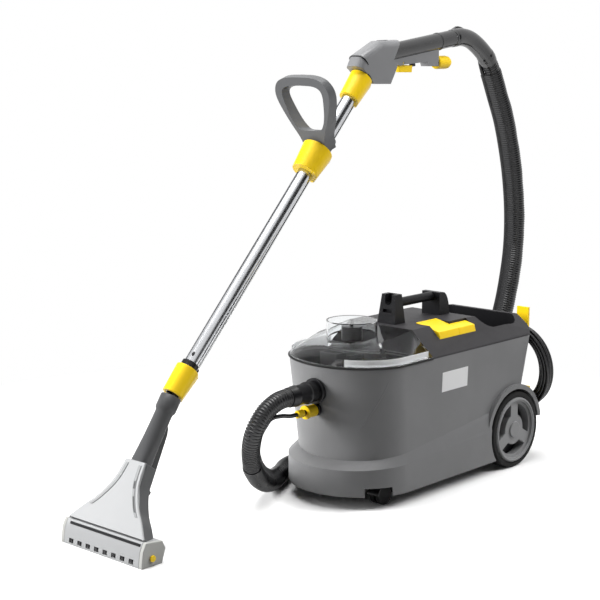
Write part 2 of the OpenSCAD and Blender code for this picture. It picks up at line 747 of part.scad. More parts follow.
module lid_seal() color(black) placed() difference() {
    bay_outline(0, seal_z, seal_t);
    bay_outline(seal_w, seal_z - 1, seal_t + 2);
}
dome_ceiling = dome_z - lid_wall;
float_z = dome_ceiling - 1.5 - float_travel - float_h;
module float_guide() color(black) placed() {
    rod_z(guide_r, float_z - 8, dome_ceiling, 0, dome_y);
    rod_z(guide_r + 3, float_z - 11, float_z - 4, 0, dome_y);
}
module float_cup() color(black) placed() difference() {
    rod_z(float_r, float_z, float_z + float_h, 0, dome_y);
    difference() {
        rod_z(float_r - 2, float_z - 1, float_z + float_h - 3, 0, dome_y);
        rod_z(guide_r + 3, float_z, float_z + float_h, 0, dome_y);
    }
    rod_z(guide_r + run_fit, float_z - 1, float_z + float_h + 1, 0, dome_y);
}

// Carry handle: a tapered front post with a notch, a round bar and a rear post that falls in an arch
post_z = cover_z + post_h;
bar_z = cover_z + bar_h;
post_draw = 6;
post_lean = 9;
notch_deep = 26;
arch_d = 26;
arch_n = 6;
slot_low = 26;
slot_h = 8;
module carry_handle() color(black) placed() difference() {
    union() {
        hull() {
            block(-post_w / 2, post_w / 2, post_y, post_y + post_t, cover_z, cover_z + 1);
            block(-post_w / 2 + post_draw, post_w / 2 - post_draw,
                post_y + post_lean, post_y + post_t - post_draw, post_z - 1, post_z);
        }
        along_x(concat([[rear_post_y, bar_z + bar_r], [rear_post_y, cover_z]],
            [for (i = [0:arch_n]) let (a = 90 * i / arch_n)
                [cover_fall_y - arch_d + arch_d * cos(a), cover_z + (bar_h + bar_r) * sin(a)]]),
            -post_w / 2, post_w / 2);
        rod_y(bar_r, post_y + post_t - 2 * post_draw, rear_post_y + 2, 0, bar_z);
    }
    rod_y(notch_w / 2, 0, post_y + post_t - 10, 0, post_z - notch_deep + notch_w / 2);
    block(-notch_w / 2, notch_w / 2, 0, post_y + post_t - 10, post_z - notch_deep + notch_w / 2, far);
    block(-post_w / 4, post_w / 4, 0, post_y + 12, cover_z + slot_low, cover_z + slot_low + slot_h);
    for (p = screw_places) rod_z(screw_r + seat_gap, cover_z - 1, cover_z + screw_deep, p.x, p.y);
}
module handle_screws() color(chrome) placed() for (p = screw_places) {
    rod_z(screw_r, cover_z - wall - 1, cover_z + screw_deep - 2, p.x, p.y);
    rod_z(2 * screw_r, cover_z - wall - 3.5, cover_z - wall - seat_gap, p.x, p.y);
}

// Switches
crest_x = switch_x1 - 4;
function crest_at(x) = mix(cover_z + 3, shoulder_at(crest_x) + 12, (x - switch_x0) / (crest_x - switch_x0));
module rocker(x0, y0, y1) along_y(concat([[x0, crest_at(x0)], [x0, floor_at(x0, switch_depth)]],
    x0 < knee ? [[knee, floor_at(knee, switch_depth)]] : [],
    [[switch_x1, floor_at(switch_x1, switch_depth)], [switch_x1, shoulder_at(switch_x1) + 1],
     [crest_x, crest_at(crest_x)]]), y0, y1);
module suction_switch() color(yellow) placed() rocker(switch_x0, switch_y0, switch_y1 - move_gap);
module spray_switch() color(yellow) placed() rocker(spray_x0, switch_y1 + move_gap, switch_y2);
// The switch box hangs under the cover, beside the fan case
box_h = 34;
module switch_box() color(black) placed() block(fan_case_r + 2, knee - 2, switch_y0 + 10, switch_y1 - 8,
    cover_z - pocket_depth - wall - box_h, cover_z - pocket_depth - wall - seat_gap);

// Running gear
module rear_axle() color(chrome) placed() rod_x(axle_r, -axle_end, axle_end, axle_y, wheel_r);
spoke_w = 30;
hub_window_out = hub_r - 17;
hub_window_in = axle_r + 32;
web_x0 = tyre_x + 14;
web_x1 = hub_x - 6;
module wheel_hub(side) color(dark_grey) placed() on_side(side) difference() {
    union() {
        difference() {
            rod_x(hub_r, tyre_x, hub_x, axle_y, wheel_r);
            rod_x(hub_r - 10, tyre_x - 1, web_x0, axle_y, wheel_r);
            rod_x(hub_r - 10, web_x1, hub_x + 1, axle_y, wheel_r);
        }
        rod_x(axle_r + 14, tyre_x, hub_x - 2, axle_y, wheel_r);
    }
    translate([web_x0 - 1, axle_y, wheel_r]) rotate([90, 0, 90])
        linear_extrude(web_x1 - web_x0 + 2) difference() {
            circle(r = hub_window_out);
            circle(r = hub_window_in);
            for (a = [90, 210, 330]) rotate(a) translate([0, -spoke_w / 2]) square([hub_r, spoke_w]);
        }
    rod_x(axle_r + run_fit, 0, axle_end + 1, axle_y, wheel_r);
}
module wheel_hub_left() wheel_hub(-1);
module wheel_hub_right() wheel_hub(1);
module wheel_tyre(side) color(black) placed() on_side(side) difference() {
    rod_x(wheel_r, tyre_x, tyre_x + tyre_w, axle_y, wheel_r);
    rod_x(hub_r + seat_gap, 0, far, axle_y, wheel_r);
}
module wheel_tyre_left() wheel_tyre(-1);
module wheel_tyre_right() wheel_tyre(1);

module at_caster(side) on_side(side) translate([caster_x, caster_y, 0]) children();
module caster_fork(side) color(black) placed() at_caster(side) difference() {
    union() {
        difference() {
            union() {
                difference() {
                    rod_x(hood_out, -hood_hw, hood_hw, caster_trail, caster_r);
                    block(-far, far, -far, far, -far, caster_r + 3);
                }
                rod_z(stem_r + 5, caster_r, neck_z, 0, 0);
            }
            rod_x(hood_in, -far, far, caster_trail, caster_r);
        }
        block(-plate_hw, plate_hw, caster_trail - 9, caster_trail + 9, caster_r, caster_r + hood_in + 1);
        rod_x(9, -plate_hw, plate_hw, caster_trail, caster_r);
        rod_z(stem_r, neck_z - 1, stem_z, 0, 0);
    }
    rod_x(caster_axle_r + run_fit, -far, far, caster_trail, caster_r);
}
module caster_fork_left() caster_fork(-1);
module caster_fork_right() caster_fork(1);
module caster_wheels(side) color(black) placed() at_caster(side) {
    both_sides()
        rod_x(caster_r, plate_hw + caster_gap, plate_hw + caster_gap + caster_w, caster_trail, caster_r);
    rod_x(caster_axle_r, -plate_hw - 2, plate_hw + 2, caster_trail, caster_r);
}
module caster_wheels_left() caster_wheels(-1);
module caster_wheels_right() caster_wheels(1);

// Connections
module suction_port() color(black) placed() difference() {
    union() {
        rod_y(flange_r, port_front, port_back, 0, port_z);
        rod_y(neck_r, port_front, port_in, 0, port_z);
    }
    rod_y(port_r, port_front - 1, port_in + 1, 0, port_z);
}
module hose_cuff() color(black) placed() difference() {
    union() {
        rod_y(hose_d / 2 + 2, cuff_end, port_front - seat_gap, 0, port_z);
        rod_y(port_r - seat_gap, cuff_end, port_back, 0, port_z);
    }
    rod_y(hose_bore / 2, cuff_end - 1, port_back + 1, 0, port_z);
}
module spray_socket() color(black) placed() {
    rod_y(socket_flange_r, socket_front, socket_back, 0, socket_z);
    rod_y(socket_r, socket_back - 1, nose_at(socket_z) + wall + 3, 0, socket_z);
    rod_y(nipple_r, tail_y1, socket_front + 1, 0, socket_z);
}
module coupling_collar() color(yellow) placed() difference() {
    union() {
        rod_y(collar_r, collar_y0, collar_y1, 0, socket_z);
        rod_y(collar_r + 2, collar_y0, collar_y0 + 6, 0, socket_z);
    }
    rod_y(nipple_r + run_fit, collar_y0 - 1, collar_y1 + 1, 0, socket_z);
}
module coupling_tail() color(yellow) placed() difference() {
    rod_y(9, tail_y1 - tail_l, tail_y1 - seat_gap, 0, socket_z);
    rod_y(3, tail_y1 - tail_l - 1, tail_y1 + 1, 0, socket_z);
}

// Hoses
groove_r = hose_d / 2 - rib_h;
module suction_hose() color(black) placed() hollow_tube(
    concat([hose_ring(0, round_section(groove_r, hose_sides))],
        [for (k = [0:rib_n - 1]) each [hose_ring((k + 0.3) * rib_p, round_section(hose_d / 2, hose_sides)),
            hose_ring((k + 0.9) * rib_p, round_section(groove_r, hose_sides))]],
        [for (s = sleeve_stops) hose_ring(s, round_section(groove_r + 1, hose_sides))],
        [hose_ring(hose_end, round_section(groove_r + 1, hose_sides))]),
    concat([for (s = [0:bore_step:rib_l - bore_step]) hose_ring(s, round_section(hose_bore / 2, hose_sides))],
        [for (s = sleeve_stops) hose_ring(s, round_section(hose_bore / 2, hose_sides))],
        [hose_ring(hose_end, round_section(hose_bore / 2, hose_sides))]));
spray_q = curve(concat([[0, tail_y1 - tail_l - seat_gap, socket_z]], spray_start,
    [for (s = [66:34:rib_l]) beside(s, spray_off)], [for (s = sleeve_stops) beside(s, spray_off)],
    [for (s = [sleeve_end + 34:34:hose_len - 20]) beside(s, cuff_off)], spray_finish, [inlet]));
spray_stops = [for (i = [0:curve_n:len(spray_q) - 1]) i];
module spray_hose() color(black) placed() {
    way = headings(spray_q);
    solid_tube([for (i = spray_stops) ring(spray_q[i], way[i], hose_axis, round_section(spray_d / 2, 8))]);
}
// Outline of the sleeve: the skin of the two hoses lying side by side
sleeve_sides = 12;
function sleeve_section(grow) =
    let (big = (hose_d / 2 + 0.4) / cos(16) + grow, small = spray_d / 2 + 0.7 + grow,
        turn = acos((big - small) / spray_off), arc = 360 - 2 * turn)
    concat([for (i = [0:8]) let (a = 180 + turn + arc * i / 8) big * [cos(a), sin(a)]],
        [for (i = [0:2]) let (a = 180 - turn + turn * i) [-spray_off, 0] + small * [cos(a), sin(a)]]);
module hose_sleeve() color(black) placed() hollow_tube(
    [for (s = sleeve_stops) hose_ring(s, turned(sleeve_section(sleeve_t), side_turn(s)))],
    [for (s = sleeve_stops) hose_ring(s, turned(sleeve_section(0), side_turn(s)))]);
bend_stops = [for (i = [0:bend_n]) mix(hose_end, hose_len, i / bend_n)];
module bend_cuff() color(black) placed() hollow_tube(
    [for (s = bend_stops) hose_ring(s, round_section(bend_d / 2, 12))],
    [for (s = bend_stops) hose_ring(s, round_section(hose_bore / 2, 12))]);

// Mains cord and its hooks
module upper_hook() color(yellow) placed() {
    rod_y(hook_pin_r, rear_at(hook_z + hook_pin_r) - wall - 0.5, hook_seat + 1, hook_x, hook_z);
    rod_y(hook_flange_r, hook_seat, hook_seat + 4, hook_x, hook_z);
    rod_y(hook_r, hook_seat, lip_y + 1, hook_x, hook_z);
    block(hook_x - lip_hw, hook_x + lip_hw, lip_y, lip_y + lip_t, hook_z - hook_r, hook_z + lip_h);
}
foot_hook_y = skirt_rear + 0.2;
module lower_hook() color(yellow) placed() {
    block(hook_x - lip_hw, hook_x + lip_hw, foot_hook_y, foot_hook_y + 5, hook_foot_z, low_hook_z + hook_r);
    rod_y(hook_r, foot_hook_y + 1, low_lip_y + 1, hook_x, low_hook_z);
    block(hook_x - lip_hw, hook_x + lip_hw, low_lip_y, low_lip_y + lip_t, hook_foot_z, low_hook_z + hook_r);
}
module cord_gland() color(black) placed() {
    rod_y(gland_r, skirt_rear - 12, skirt_rear + 4, gland_x, gland_z);
    translate([gland_x, skirt_rear + 4, gland_z]) rotate([-90, 0, 0])
        cylinder(r1 = gland_r, r2 = cord_d / 2 + 1.2, h = gland_l - 4);
}
module cord_tube(q, step, reference, sides) {
    way = headings(q);
    section = round_section(cord_d / 2, sides);
    solid_tube([for (i = [0:step:len(q) - 1]) ring(q[i], way[i], reference, section)]);
}
module cord_lead() color(black) placed() cord_tube(lead_q, cord_step, [1, 0, 0.01], cord_sides);
module cord_tail() color(black) placed() cord_tube(tail_q, cord_step, [0, 1, 0], cord_sides);
module cord_hank() color(black) placed() cord_tube(hank_points, 1, [0, 1, 0], hank_sides);
module mains_plug() color(black) placed() translate(plug_top) {
    translate([0, 0, -10]) cylinder(r1 = 8, r2 = cord_d / 2 + 1, h = 10 - seat_gap);
    translate([0, 0, -plug_l]) cylinder(r = 17, h = plug_l - 10);
    for (x = [-plug_pin_gap / 2, plug_pin_gap / 2])
        rod_z(plug_pin_r, -plug_l - plug_pin_l, -plug_l + 1, x, 0);
}

// Motor, fan and pump
motor_y = (bay_y + wall + tank_wall_y) / 2;
motor_r = 62;
fan_case_r = 70;
motor_h = 92;
fan_case_z = deck_z + motor_h;
fan_case_h = 44;
shaft_r = 5;
module suction_motor() color(black) placed() {
    rod_z(motor_r, deck_z, fan_case_z + 1, 0, motor_y);
    rod_z(shaft_r, fan_case_z, fan_case_z + fan_case_h - 8, 0, motor_y);
    difference() {
        rod_z(fan_case_r, fan_case_z, fan_case_z + fan_case_h, 0, motor_y);
        rod_z(fan_case_r - 4, fan_case_z + 4, fan_case_z + fan_case_h - 4, 0, motor_y);
        rod_z(24, fan_case_z + 10, far, 0, motor_y);
    }
}
module fan_rotor() color(chrome) placed() difference() {
    union() {
        rod_z(fan_case_r - 8, fan_case_z + 8, fan_case_z + 14, 0, motor_y);
        rod_z(14, fan_case_z + 8, fan_case_z + fan_case_h - 8, 0, motor_y);
        for (a = [0:45:315]) translate([0, motor_y, fan_case_z + 10]) rotate([0, 0, a])
            block(10, fan_case_r - 9, -1.5, 1.5, 0, fan_case_h - 20);
    }
    rod_z(shaft_r + run_fit, 0, far, 0, motor_y);
}
pump_y = 330;
pump_r = 26;
pump_l = 120;
pump_low = skirt_z + wall;
pump_foot = 8;
pump_z = pump_low + pump_foot + pump_r + 4;
module water_pump() color(black) placed() {
    block(-55, 55, pump_y - 30, pump_y + 30, pump_low, pump_low + pump_foot);
    block(-40, 40, pump_y - 12, pump_y + 12, pump_low, pump_z);
    rod_x(pump_r, -pump_l / 2, pump_l / 2, pump_y, pump_z);
}

// Wand
module suction_tube() color(chrome) placed() on_wand() difference() {
    rod_y(tube_r, tube_low, tube_top, 0, 0);
    rod_y(tube_r - tube_wall, tube_low - 1, tube_top + 1, 0, 0);
}
module spray_pipe() color(chrome) placed() on_wand() rod_y(pipe_r, tube_low + 1, elbow_s - 0.5, 0, -pipe_off);
module tube_bores(s0, s1) {
    rod_y(tube_r + slide_fit, s0, s1, 0, 0);
    rod_y(pipe_r + slide_fit, s0, s1, 0, -pipe_off);
}
module sleeve(s0, r0, r1) on_wand() difference() {
    hull($fn = 32) {
        rod_y(r0, s0, s0 + 1, 0, 0);
        rod_y(r1, s0 + sleeve_l - 1, s0 + sleeve_l, 0, 0);
        rod_y(pipe_r + 4, s0, s0 + 1, 0, -pipe_off);
        rod_y(pipe_r + 7, s0 + sleeve_l - 1, s0 + sleeve_l, 0, -pipe_off - 2);
    }
    tube_bores(s0 - 1, s0 + sleeve_l + 1);
}
module lower_sleeve() color(yellow) placed() sleeve(-sleeve_l - 10, sleeve_r - 5, sleeve_r - 3);
module upper_sleeve() color(yellow) placed() sleeve(elbow_s - sleeve_l, sleeve_r - 5, sleeve_r - 1);
module clamp_sleeve() color(yellow) placed() sleeve(clamp_s, sleeve_r - 3, sleeve_r);

// D handle: a flat band round an opening, deeper at its foot, where it runs down to a collar on the tube.
// The half outlines are shares of the half width and of the height. The opening runs level through the band
outer_shape = [[0, 1], [0.5, 0.99], [0.82, 0.94], [0.98, 0.84], [1, 0.72], [0.88, 0.56], [0.68, 0.37],
    [0.45, 0.18], [0.38, 0.04], [0.38, -0.02]];
opening_shape = [[0, 0.89], [0.45, 0.88], [0.68, 0.84], [0.76, 0.76], [0.72, 0.62], [0.64, 0.47], [0.53, 0.36],
    [0.38, 0.295], [0, 0.285]];
outline_step = 3;
function loop_outline(shape, h) = let (q = curve(shape), half = [for (i = [0:outline_step:len(q) - 1])
    [q[i].x * loop_w / 2, q[i].y * h]]) concat(half, mirrored(half));
collar_len = 37;
loop_front = -10;
module d_loop() intersection() {
    difference() {
        along_y(loop_outline(outer_shape, loop_h), loop_front, loop_front + loop_d);
        translate([0, loop_front, 0]) rotate([-loop_lean, 0, 0])
            along_y(loop_outline(opening_shape, loop_h * cos(loop_lean)), -loop_h, loop_h);
    }
    along_x([[loop_front, -loop_h], [loop_front + loop_d, -loop_h], [loop_front + loop_d, loop_h / 4],
        [loop_front + loop_top_d, loop_h], [loop_front, loop_h]], -loop_w, loop_w);
}
module d_handle() color(grey) placed() difference() {
    union() {
        translate(wand_point(loop_s, 0)) rotate([loop_lean, 0, 0]) d_loop();
        on_wand() rod_y(sleeve_r - 2, loop_s, loop_s + collar_len, 0, 0);
        on_wand() rod_y(pipe_r + 6, loop_s, loop_s + collar_len, 0, -pipe_off);
    }
    on_wand() tube_bores(loop_s - 60, loop_s + 80);
    on_wand() block(-far, far, -far, loop_s, -far, far);
}

// Grip: the elbow is cut from its side outline and rounded along its front, its slope and its top
elbow_outline = [[20, -14.7], [80, -15.7], [101, 18], [107, 32.5], [89, 37.3],
    [120, 88.3], [49, 85.3], [16, 72.3], [-20, 53.3], [-34, 27.3], [-17, 18.3]];
elbow_r = 17;
round_n = 4;
function quarter(x, z, r, from) = [for (i = [0:round_n]) let (a = from + 90 * i / round_n)
    [x + r * cos(a), z + r * sin(a)]];
function round_top(hw, r) = concat([[-hw, -far], [hw, -far]],
    quarter(hw - r, -r, r, 0), quarter(r - hw, -r, r, 90));
module elbow_rounding(p, q) translate([0, p.x, p.y]) rotate([atan2(q.y - p.y, q.x - p.x), 0, 0])
    along_y(round_top(elbow_w / 2, elbow_r), -elbow_s, elbow_s);
grip_ref = [127, 61.3];
grip_start = -52;
grip_end = grip_start + grip_l;
ring_h = 1.2;
ring_w = 6;
ring_back = 68;
module on_grip() translate([0, grip_ref.x, grip_ref.y]) rotate([grip_tilt, 0, 0]) children();
// Height of the grip tube's axis, in the elbow's frame
function grip_at(y) = grip_ref.y + tan(grip_tilt) * (y - grip_ref.x);
module elbow() color(grey) placed() difference() {
    at_elbow() intersection() {
        along_x(elbow_outline, -elbow_w / 2, elbow_w / 2);
        elbow_rounding(elbow_outline[9], elbow_outline[8]);
        elbow_rounding(elbow_outline[8], elbow_outline[6]);
        elbow_rounding(elbow_outline[6], elbow_outline[5]);
    }
    on_wand() rod_y(tube_r + seat_gap, elbow_s - 20, tube_top + 1, 0, 0);
    at_elbow() on_grip() rod_y(grip_r + seat_gap, grip_start - 1, 60, 0, 0);
    at_elbow() translate([0, 16, 20]) rotate([30, 0, 0]) rod_y(duct_r - 1, 0, 66, 0, 0);
}
module grip_tube() color(black) placed() at_elbow() on_grip() difference() {
    union() {
        rod_y(grip_r, grip_start, grip_end, 0, 0);
        rod_y(grip_r + ring_h, grip_end - ring_back, grip_end - ring_back + ring_w, 0, 0);
        rod_y(grip_r + ring_h, grip_end - ring_w, grip_end, 0, 0);
    }
    rod_y(grip_r - 2.5, grip_start - 1, grip_end + 1, 0, 0);
}
// The valve housing carries the trigger, the flow knob and, on its far side, the inlet of the spray hose
pivot = [145, 33.3];
pivot_r = 2;
slot_hw = trigger_w / 2 + 1;
stub_r = 5;
stub_l = 16;
inlet_boss_r = 7;
inlet_l = 32;
housing_outline = [[103, 34.1], [134, 26.2], [141, 28.8], [238, 35.3], [243, 24.3], [knob_y, 24.3],
    [knob_y, grip_at(knob_y) - 0.6 * grip_r], [103, grip_at(103) - 0.6 * grip_r]];
module valve_housing() color(grey) placed() at_elbow() difference() {
    union() {
        along_x(housing_outline, -housing_w / 2, housing_w / 2);
        rod_y(stub_r, knob_y - 1, knob_y + stub_l, 0, pivot.y);
        rod_y(inlet_boss_r, inlet_at.y - inlet_l, inlet_at.y, inlet_at.x, inlet_at.z);
    }
    on_grip() rod_y(grip_r + seat_gap, grip_start, grip_l, 0, 0);
    rod_y(spray_d / 4, inlet_at.y - inlet_l / 2, inlet_at.y + 1, inlet_at.x, inlet_at.z);
    block(-slot_hw, slot_hw, 134, 157, 0, pivot.y + 7);
    rod_x(pivot_r + run_fit, -far, far, pivot.x, pivot.y);
}
module trigger() color(yellow) placed() at_elbow() {
    along_x([[137, 10.8], [184, 10.3], [186, 27.3], [153, 28.3], [151, 37.3], [139, 37.3], [137, 27.3]],
        -trigger_w / 2, trigger_w / 2);
    rod_x(pivot_r, -housing_w / 2 + 1, housing_w / 2 - 1, pivot.x, pivot.y);
}
knob_dome = 20;
module flow_knob() color(yellow) placed() at_elbow() difference() {
    translate([0, knob_y + move_gap, pivot.y]) rotate([-90, 0, 0]) rotate_extrude()
        polygon(concat([[0, 0], [knob_r - 2, 0], [knob_r, 4]],
            [for (i = [0:round_n]) let (a = 90 * i / round_n)
                [knob_r * cos(a), knob_l - knob_dome + knob_dome * sin(a)]]));
    rod_y(stub_r + run_fit, knob_y, knob_y + stub_l + 1, 0, pivot.y);
}

// Floor nozzle: the fan runs from the neck into the top of the foot
hood_half = nozzle_w / 2 - cap_t;
fan_l = (neck_foot.z - foot_top) / sin(neck_tilt) + 5;
// Distances below the neck and half widths there, as shares of the fan's length and of the hood's half width
fan_shape = [[0, 0.24], [0.33, 0.32], [0.62, 0.54], [0.8, 0.76], [1, 0.98]];
// A hollow starts a little above the neck's end
function fan_side(inset) = [for (p = fan_shape)
    [p.y * hood_half - inset, p.x == 0 && inset > 0 ? 1 : -p.x * fan_l]];
function mirrored(points) = [for (i = [len(points) - 1:-1:0]) [-points[i].x, points[i].y]];
function fan_outline(inset) = concat(fan_side(inset), mirrored(fan_side(inset)));
foot_outline = [[-foot_reach, 0], [-foot_reach, 8], [-28, 34], [-19, 52], [25, 47], [33, 30], [23, 0]];
function foot_hollow(w) = [[-foot_reach + w, -1], [-foot_reach + w, 8], [-28 + w, 33], [-18 + w / 2, 52 - w],
    [24 - w / 2, 47 - w], [33 - 1.2 * w, 30], [23 - w, -1]];
module fan(inset) on_neck() linear_extrude(fan_t - 2 * inset, center = true) polygon(fan_outline(inset));
module at_foot() translate([wand_x, foot_y, 0]) children();
notch_p = (2 * hood_half - 20) / notch_n;
module nozzle_hood() color(clear) placed() difference() {
    union() {
        fan(0);
        at_foot() along_x(foot_outline, -hood_half, hood_half);
    }
    fan(hood_wall);
    at_foot() along_x(foot_hollow(hood_wall), -hood_half + hood_wall, hood_half - hood_wall);
    at_foot() for (i = [0:notch_n - 1]) translate([(i - (notch_n - 1) / 2) * notch_p, 0, 0])
        block(-notch_p / 4, notch_p / 4, -foot_reach - 1, -foot_reach + hood_wall + 1, 4, 14);
}
module nozzle_ends() color(dark_grey) placed() at_foot() both_sides()
    along_x(foot_outline, hood_half, hood_half + cap_t);
module end_knobs() color(yellow) placed() at_foot() both_sides()
    rod_x(7, hood_half + cap_t, hood_half + cap_t + knob_proud, -4, 17);
spine_hw = 5;
neck_hw = 20;
cup_r = 25;
cup_l = 36;
module nozzle_neck() color(dark_grey) placed() on_neck() difference() {
    union() {
        hull($fn = 32) {
            rod_y(22, neck_l - 1, neck_l, 0, 0);
            block(-neck_hw, neck_hw, 0, 1, -fan_t / 2, fan_t / 2);
            rod_y(21, 40, 41, 0, 0);
        }
        rod_y(cup_r, neck_l - cup_l, neck_l - 1, 0, 0);
        block(-spine_hw, spine_hw, -110, 30, -fan_t / 2 - 7, -fan_t / 2 - 0.3);
        block(-spine_hw, spine_hw, 4, 40, -jet_off + pipe_r + seat_gap, -10);
    }
    rod_y(duct_r, -1, neck_l + 1, 0, 0);
}
module spray_jet() color(black) placed() on_neck() {
    rod_y(pipe_r, -60, neck_l - 7, 0, -jet_off);
    rod_y(pipe_r + 3, -58, -38, 0, -jet_off);
}

// Places of the joints, in the part's own frame
echo(mid = mid);
echo(axle = [0, axle_y, wheel_r] - mid);
echo(caster = [caster_x, caster_y, stem_z] - mid);
echo(caster_axle = [caster_x, caster_y + caster_trail, caster_r] - mid);
echo(hook = [hook_x, lip_y, hook_z] - mid);
echo(fan = [0, motor_y, fan_case_z + 20] - mid);
echo(trigger_pivot = wand_point(elbow_s, 0) + [0, pivot.x, pivot.y] - mid);
echo(knob = wand_point(elbow_s, 0) + [0, knob_y, pivot.y] - mid);
echo(plug = plug_top - mid);
echo(sole = [wand_x, foot_y - foot_reach + hood_wall / 2, 0] - mid);
echo(hose_length = hose_len);
echo(spray_length = lengths(spray_q)[len(spray_q) - 1]);
echo(hank_length = lengths(hank_points)[len(hank_points) - 1]);
echo(lead_length = lengths(lead_q)[len(lead_q) - 1]);
echo(tail_length = lengths(tail_q)[len(tail_q) - 1]);

base_pan();
body_shell();
top_cover();
fresh_tank();
dirty_tank();
tank_lid();
lid_seal();
float_guide();
float_cup();
inlet_elbow();
lint_filter();
carry_handle();
handle_screws();
suction_switch();
spray_switch();
switch_box();
rear_axle();
wheel_hub_left();
wheel_hub_right();
wheel_tyre_left();
wheel_tyre_right();
caster_fork_left();
caster_fork_right();
caster_wheels_left();
caster_wheels_right();
suction_port();
hose_cuff();
spray_socket();
coupling_collar();
coupling_tail();
suction_hose();
spray_hose();
hose_sleeve();
bend_cuff();
upper_hook();
lower_hook();
cord_gland();
cord_lead();
cord_hank();
cord_tail();
mains_plug();
suction_motor();
fan_rotor();
water_pump();
suction_tube();
spray_pipe();
lower_sleeve();
upper_sleeve();
clamp_sleeve();
d_handle();
elbow();
grip_tube();
valve_housing();
trigger();
flow_knob();
nozzle_neck();
nozzle_hood();
nozzle_ends();
end_knobs();
spray_jet();
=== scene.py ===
import bpy
import json
from bisect import bisect_right
from math import acos, atan2, cos, degrees, floor, hypot, pi, radians, sin
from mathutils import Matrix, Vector


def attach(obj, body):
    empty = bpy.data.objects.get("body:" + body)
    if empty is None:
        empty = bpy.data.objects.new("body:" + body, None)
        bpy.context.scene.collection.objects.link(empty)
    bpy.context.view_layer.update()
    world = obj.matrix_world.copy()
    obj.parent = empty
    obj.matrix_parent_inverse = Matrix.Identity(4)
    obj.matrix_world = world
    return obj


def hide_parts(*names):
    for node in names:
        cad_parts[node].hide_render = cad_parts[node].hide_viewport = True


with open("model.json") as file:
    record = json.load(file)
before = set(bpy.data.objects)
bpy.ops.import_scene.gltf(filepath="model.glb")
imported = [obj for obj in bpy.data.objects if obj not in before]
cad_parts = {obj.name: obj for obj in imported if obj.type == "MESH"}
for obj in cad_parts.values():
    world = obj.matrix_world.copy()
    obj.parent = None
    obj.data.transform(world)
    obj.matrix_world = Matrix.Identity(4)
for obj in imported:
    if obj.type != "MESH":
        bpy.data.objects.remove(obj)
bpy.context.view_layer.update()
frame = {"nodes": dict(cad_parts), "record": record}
cad = frame["nodes"]
print("frame loaded:", len(cad), "nodes")

# the machine's own drawing frame: centre plane, nose at y 0, in millimetres
drawing = dict(midX=-32.25, midY=93.0572)


def place(x, y, z):
    return Vector(((x - drawing["midX"]) / 1000, (y - drawing["midY"]) / 1000, z / 1000))


def mm(value):
    return value / 1000


bothSides = ((1, "Right"), (-1, "Left"))


# camera and stage
camera = dict(azimuth=42.51, elevation=9.74, distance=4379.95, target=(-743.35, 770.95, 292.02),
              lens=88.607, sensor=36.0, farClip=100.0)
stage = dict(floorSize=60.0, floorTone=0.97, floorBounce=0.26, fadeFrom=0.8, fadeTo=1.5, skyLight=0.11)
lamps = dict(
    leftLamp=dict(spot=(-3.2, -3.2, 1.9), size=2.4, power=430.0, aimHeight=0.5),
    rightLamp=dict(spot=(2.1, 2.4, 2.6), size=1.8, power=120.0, aimHeight=0.3),
    topLamp=dict(spot=(-0.3, -0.1, 4.4), size=3.2, power=190.0, aimHeight=0.0, mirrored=True),
)
flags = dict(
    rightFlag=dict(spot=(3.9, 1.7, 2.0), size=(4.0, 4.2), aimHeight=0.7, tone=0.02),
    leftFlag=dict(spot=(-4.0, 0.3, 2.7), size=(2.0, 3.0), aimHeight=0.7, tone=0.02),
)


def added(name, operator, **settings):
    # what an operator adds, alone in the selection and with its own name
    bpy.ops.object.select_all(action="DESELECT")
    operator(**settings)
    piece = bpy.context.object
    piece.name = name
    return piece


def turnFrom(piece, spot, aimHeight, axis):
    piece.rotation_mode = "QUATERNION"
    piece.rotation_quaternion = (Vector((0, 0, aimHeight)) - Vector(spot)).to_track_quat(axis, "Y")


def makeCamera():
    cam = added("photoCamera", bpy.ops.object.camera_add)
    a = radians(camera["azimuth"])
    e = radians(camera["elevation"])
    back = Vector((sin(a) * cos(e), -cos(a) * cos(e), sin(e)))
    cam.location = place(*camera["target"]) + back * mm(camera["distance"])
    cam.rotation_mode = "QUATERNION"
    cam.rotation_quaternion = (-back).to_track_quat("-Z", "Y")
    cam.data.sensor_width = camera["sensor"]
    cam.data.lens = camera["lens"]
    cam.data.clip_end = camera["farClip"]
    bpy.context.scene.camera = cam


def areaLamp(name, spot, size, power, aimHeight, mirrored=False):
    lamp = added(name, bpy.ops.object.light_add, type="AREA", location=spot)
    lamp.data.shape = "SQUARE"
    lamp.data.size = size
    lamp.data.energy = power
    turnFrom(lamp, spot, aimHeight, "-Z")
    lamp.visible_glossy = mirrored


def darkFlag(name, spot, size, aimHeight, tone):
    # a black card that only reflections show, as beside a polished tube in a studio
    card = added(name, bpy.ops.mesh.primitive_plane_add, size=1, location=spot)
    card.scale = (size[0], size[1], 1)
    turnFrom(card, spot, aimHeight, "Z")
    mat = bpy.data.materials.new(name)
    mat.use_nodes = True
    skin = mat.node_tree.nodes["Principled BSDF"]
    skin.inputs["Base Color"].default_value = (tone, tone, tone, 1)
    skin.inputs["Specular IOR Level"].default_value = 0.0
    card.data.materials.append(mat)
    for kind in ("camera", "diffuse", "transmission", "shadow"):
        setattr(card, "visible_" + kind, False)


def addNode(tree, kind, **values):
    # a shader node with some of its inputs set
    node = tree.nodes.new("ShaderNode" + kind)
    for socket, value in values.items():
        node.inputs[socket].default_value = value
    return node


def seenDirectly(tree):
    # camera rays, reflections and what shows through clear plastic see the plain white studio
    path = addNode(tree, "LightPath")
    found = path.outputs["Is Camera Ray"]
    for kind in ("Is Transmission Ray", "Is Glossy Ray"):
        either = addNode(tree, "Math")
        either.operation = "MAXIMUM"
        tree.links.new(found, either.inputs[0])
        tree.links.new(path.outputs[kind], either.inputs[1])
        found = either.outputs[0]
    return found


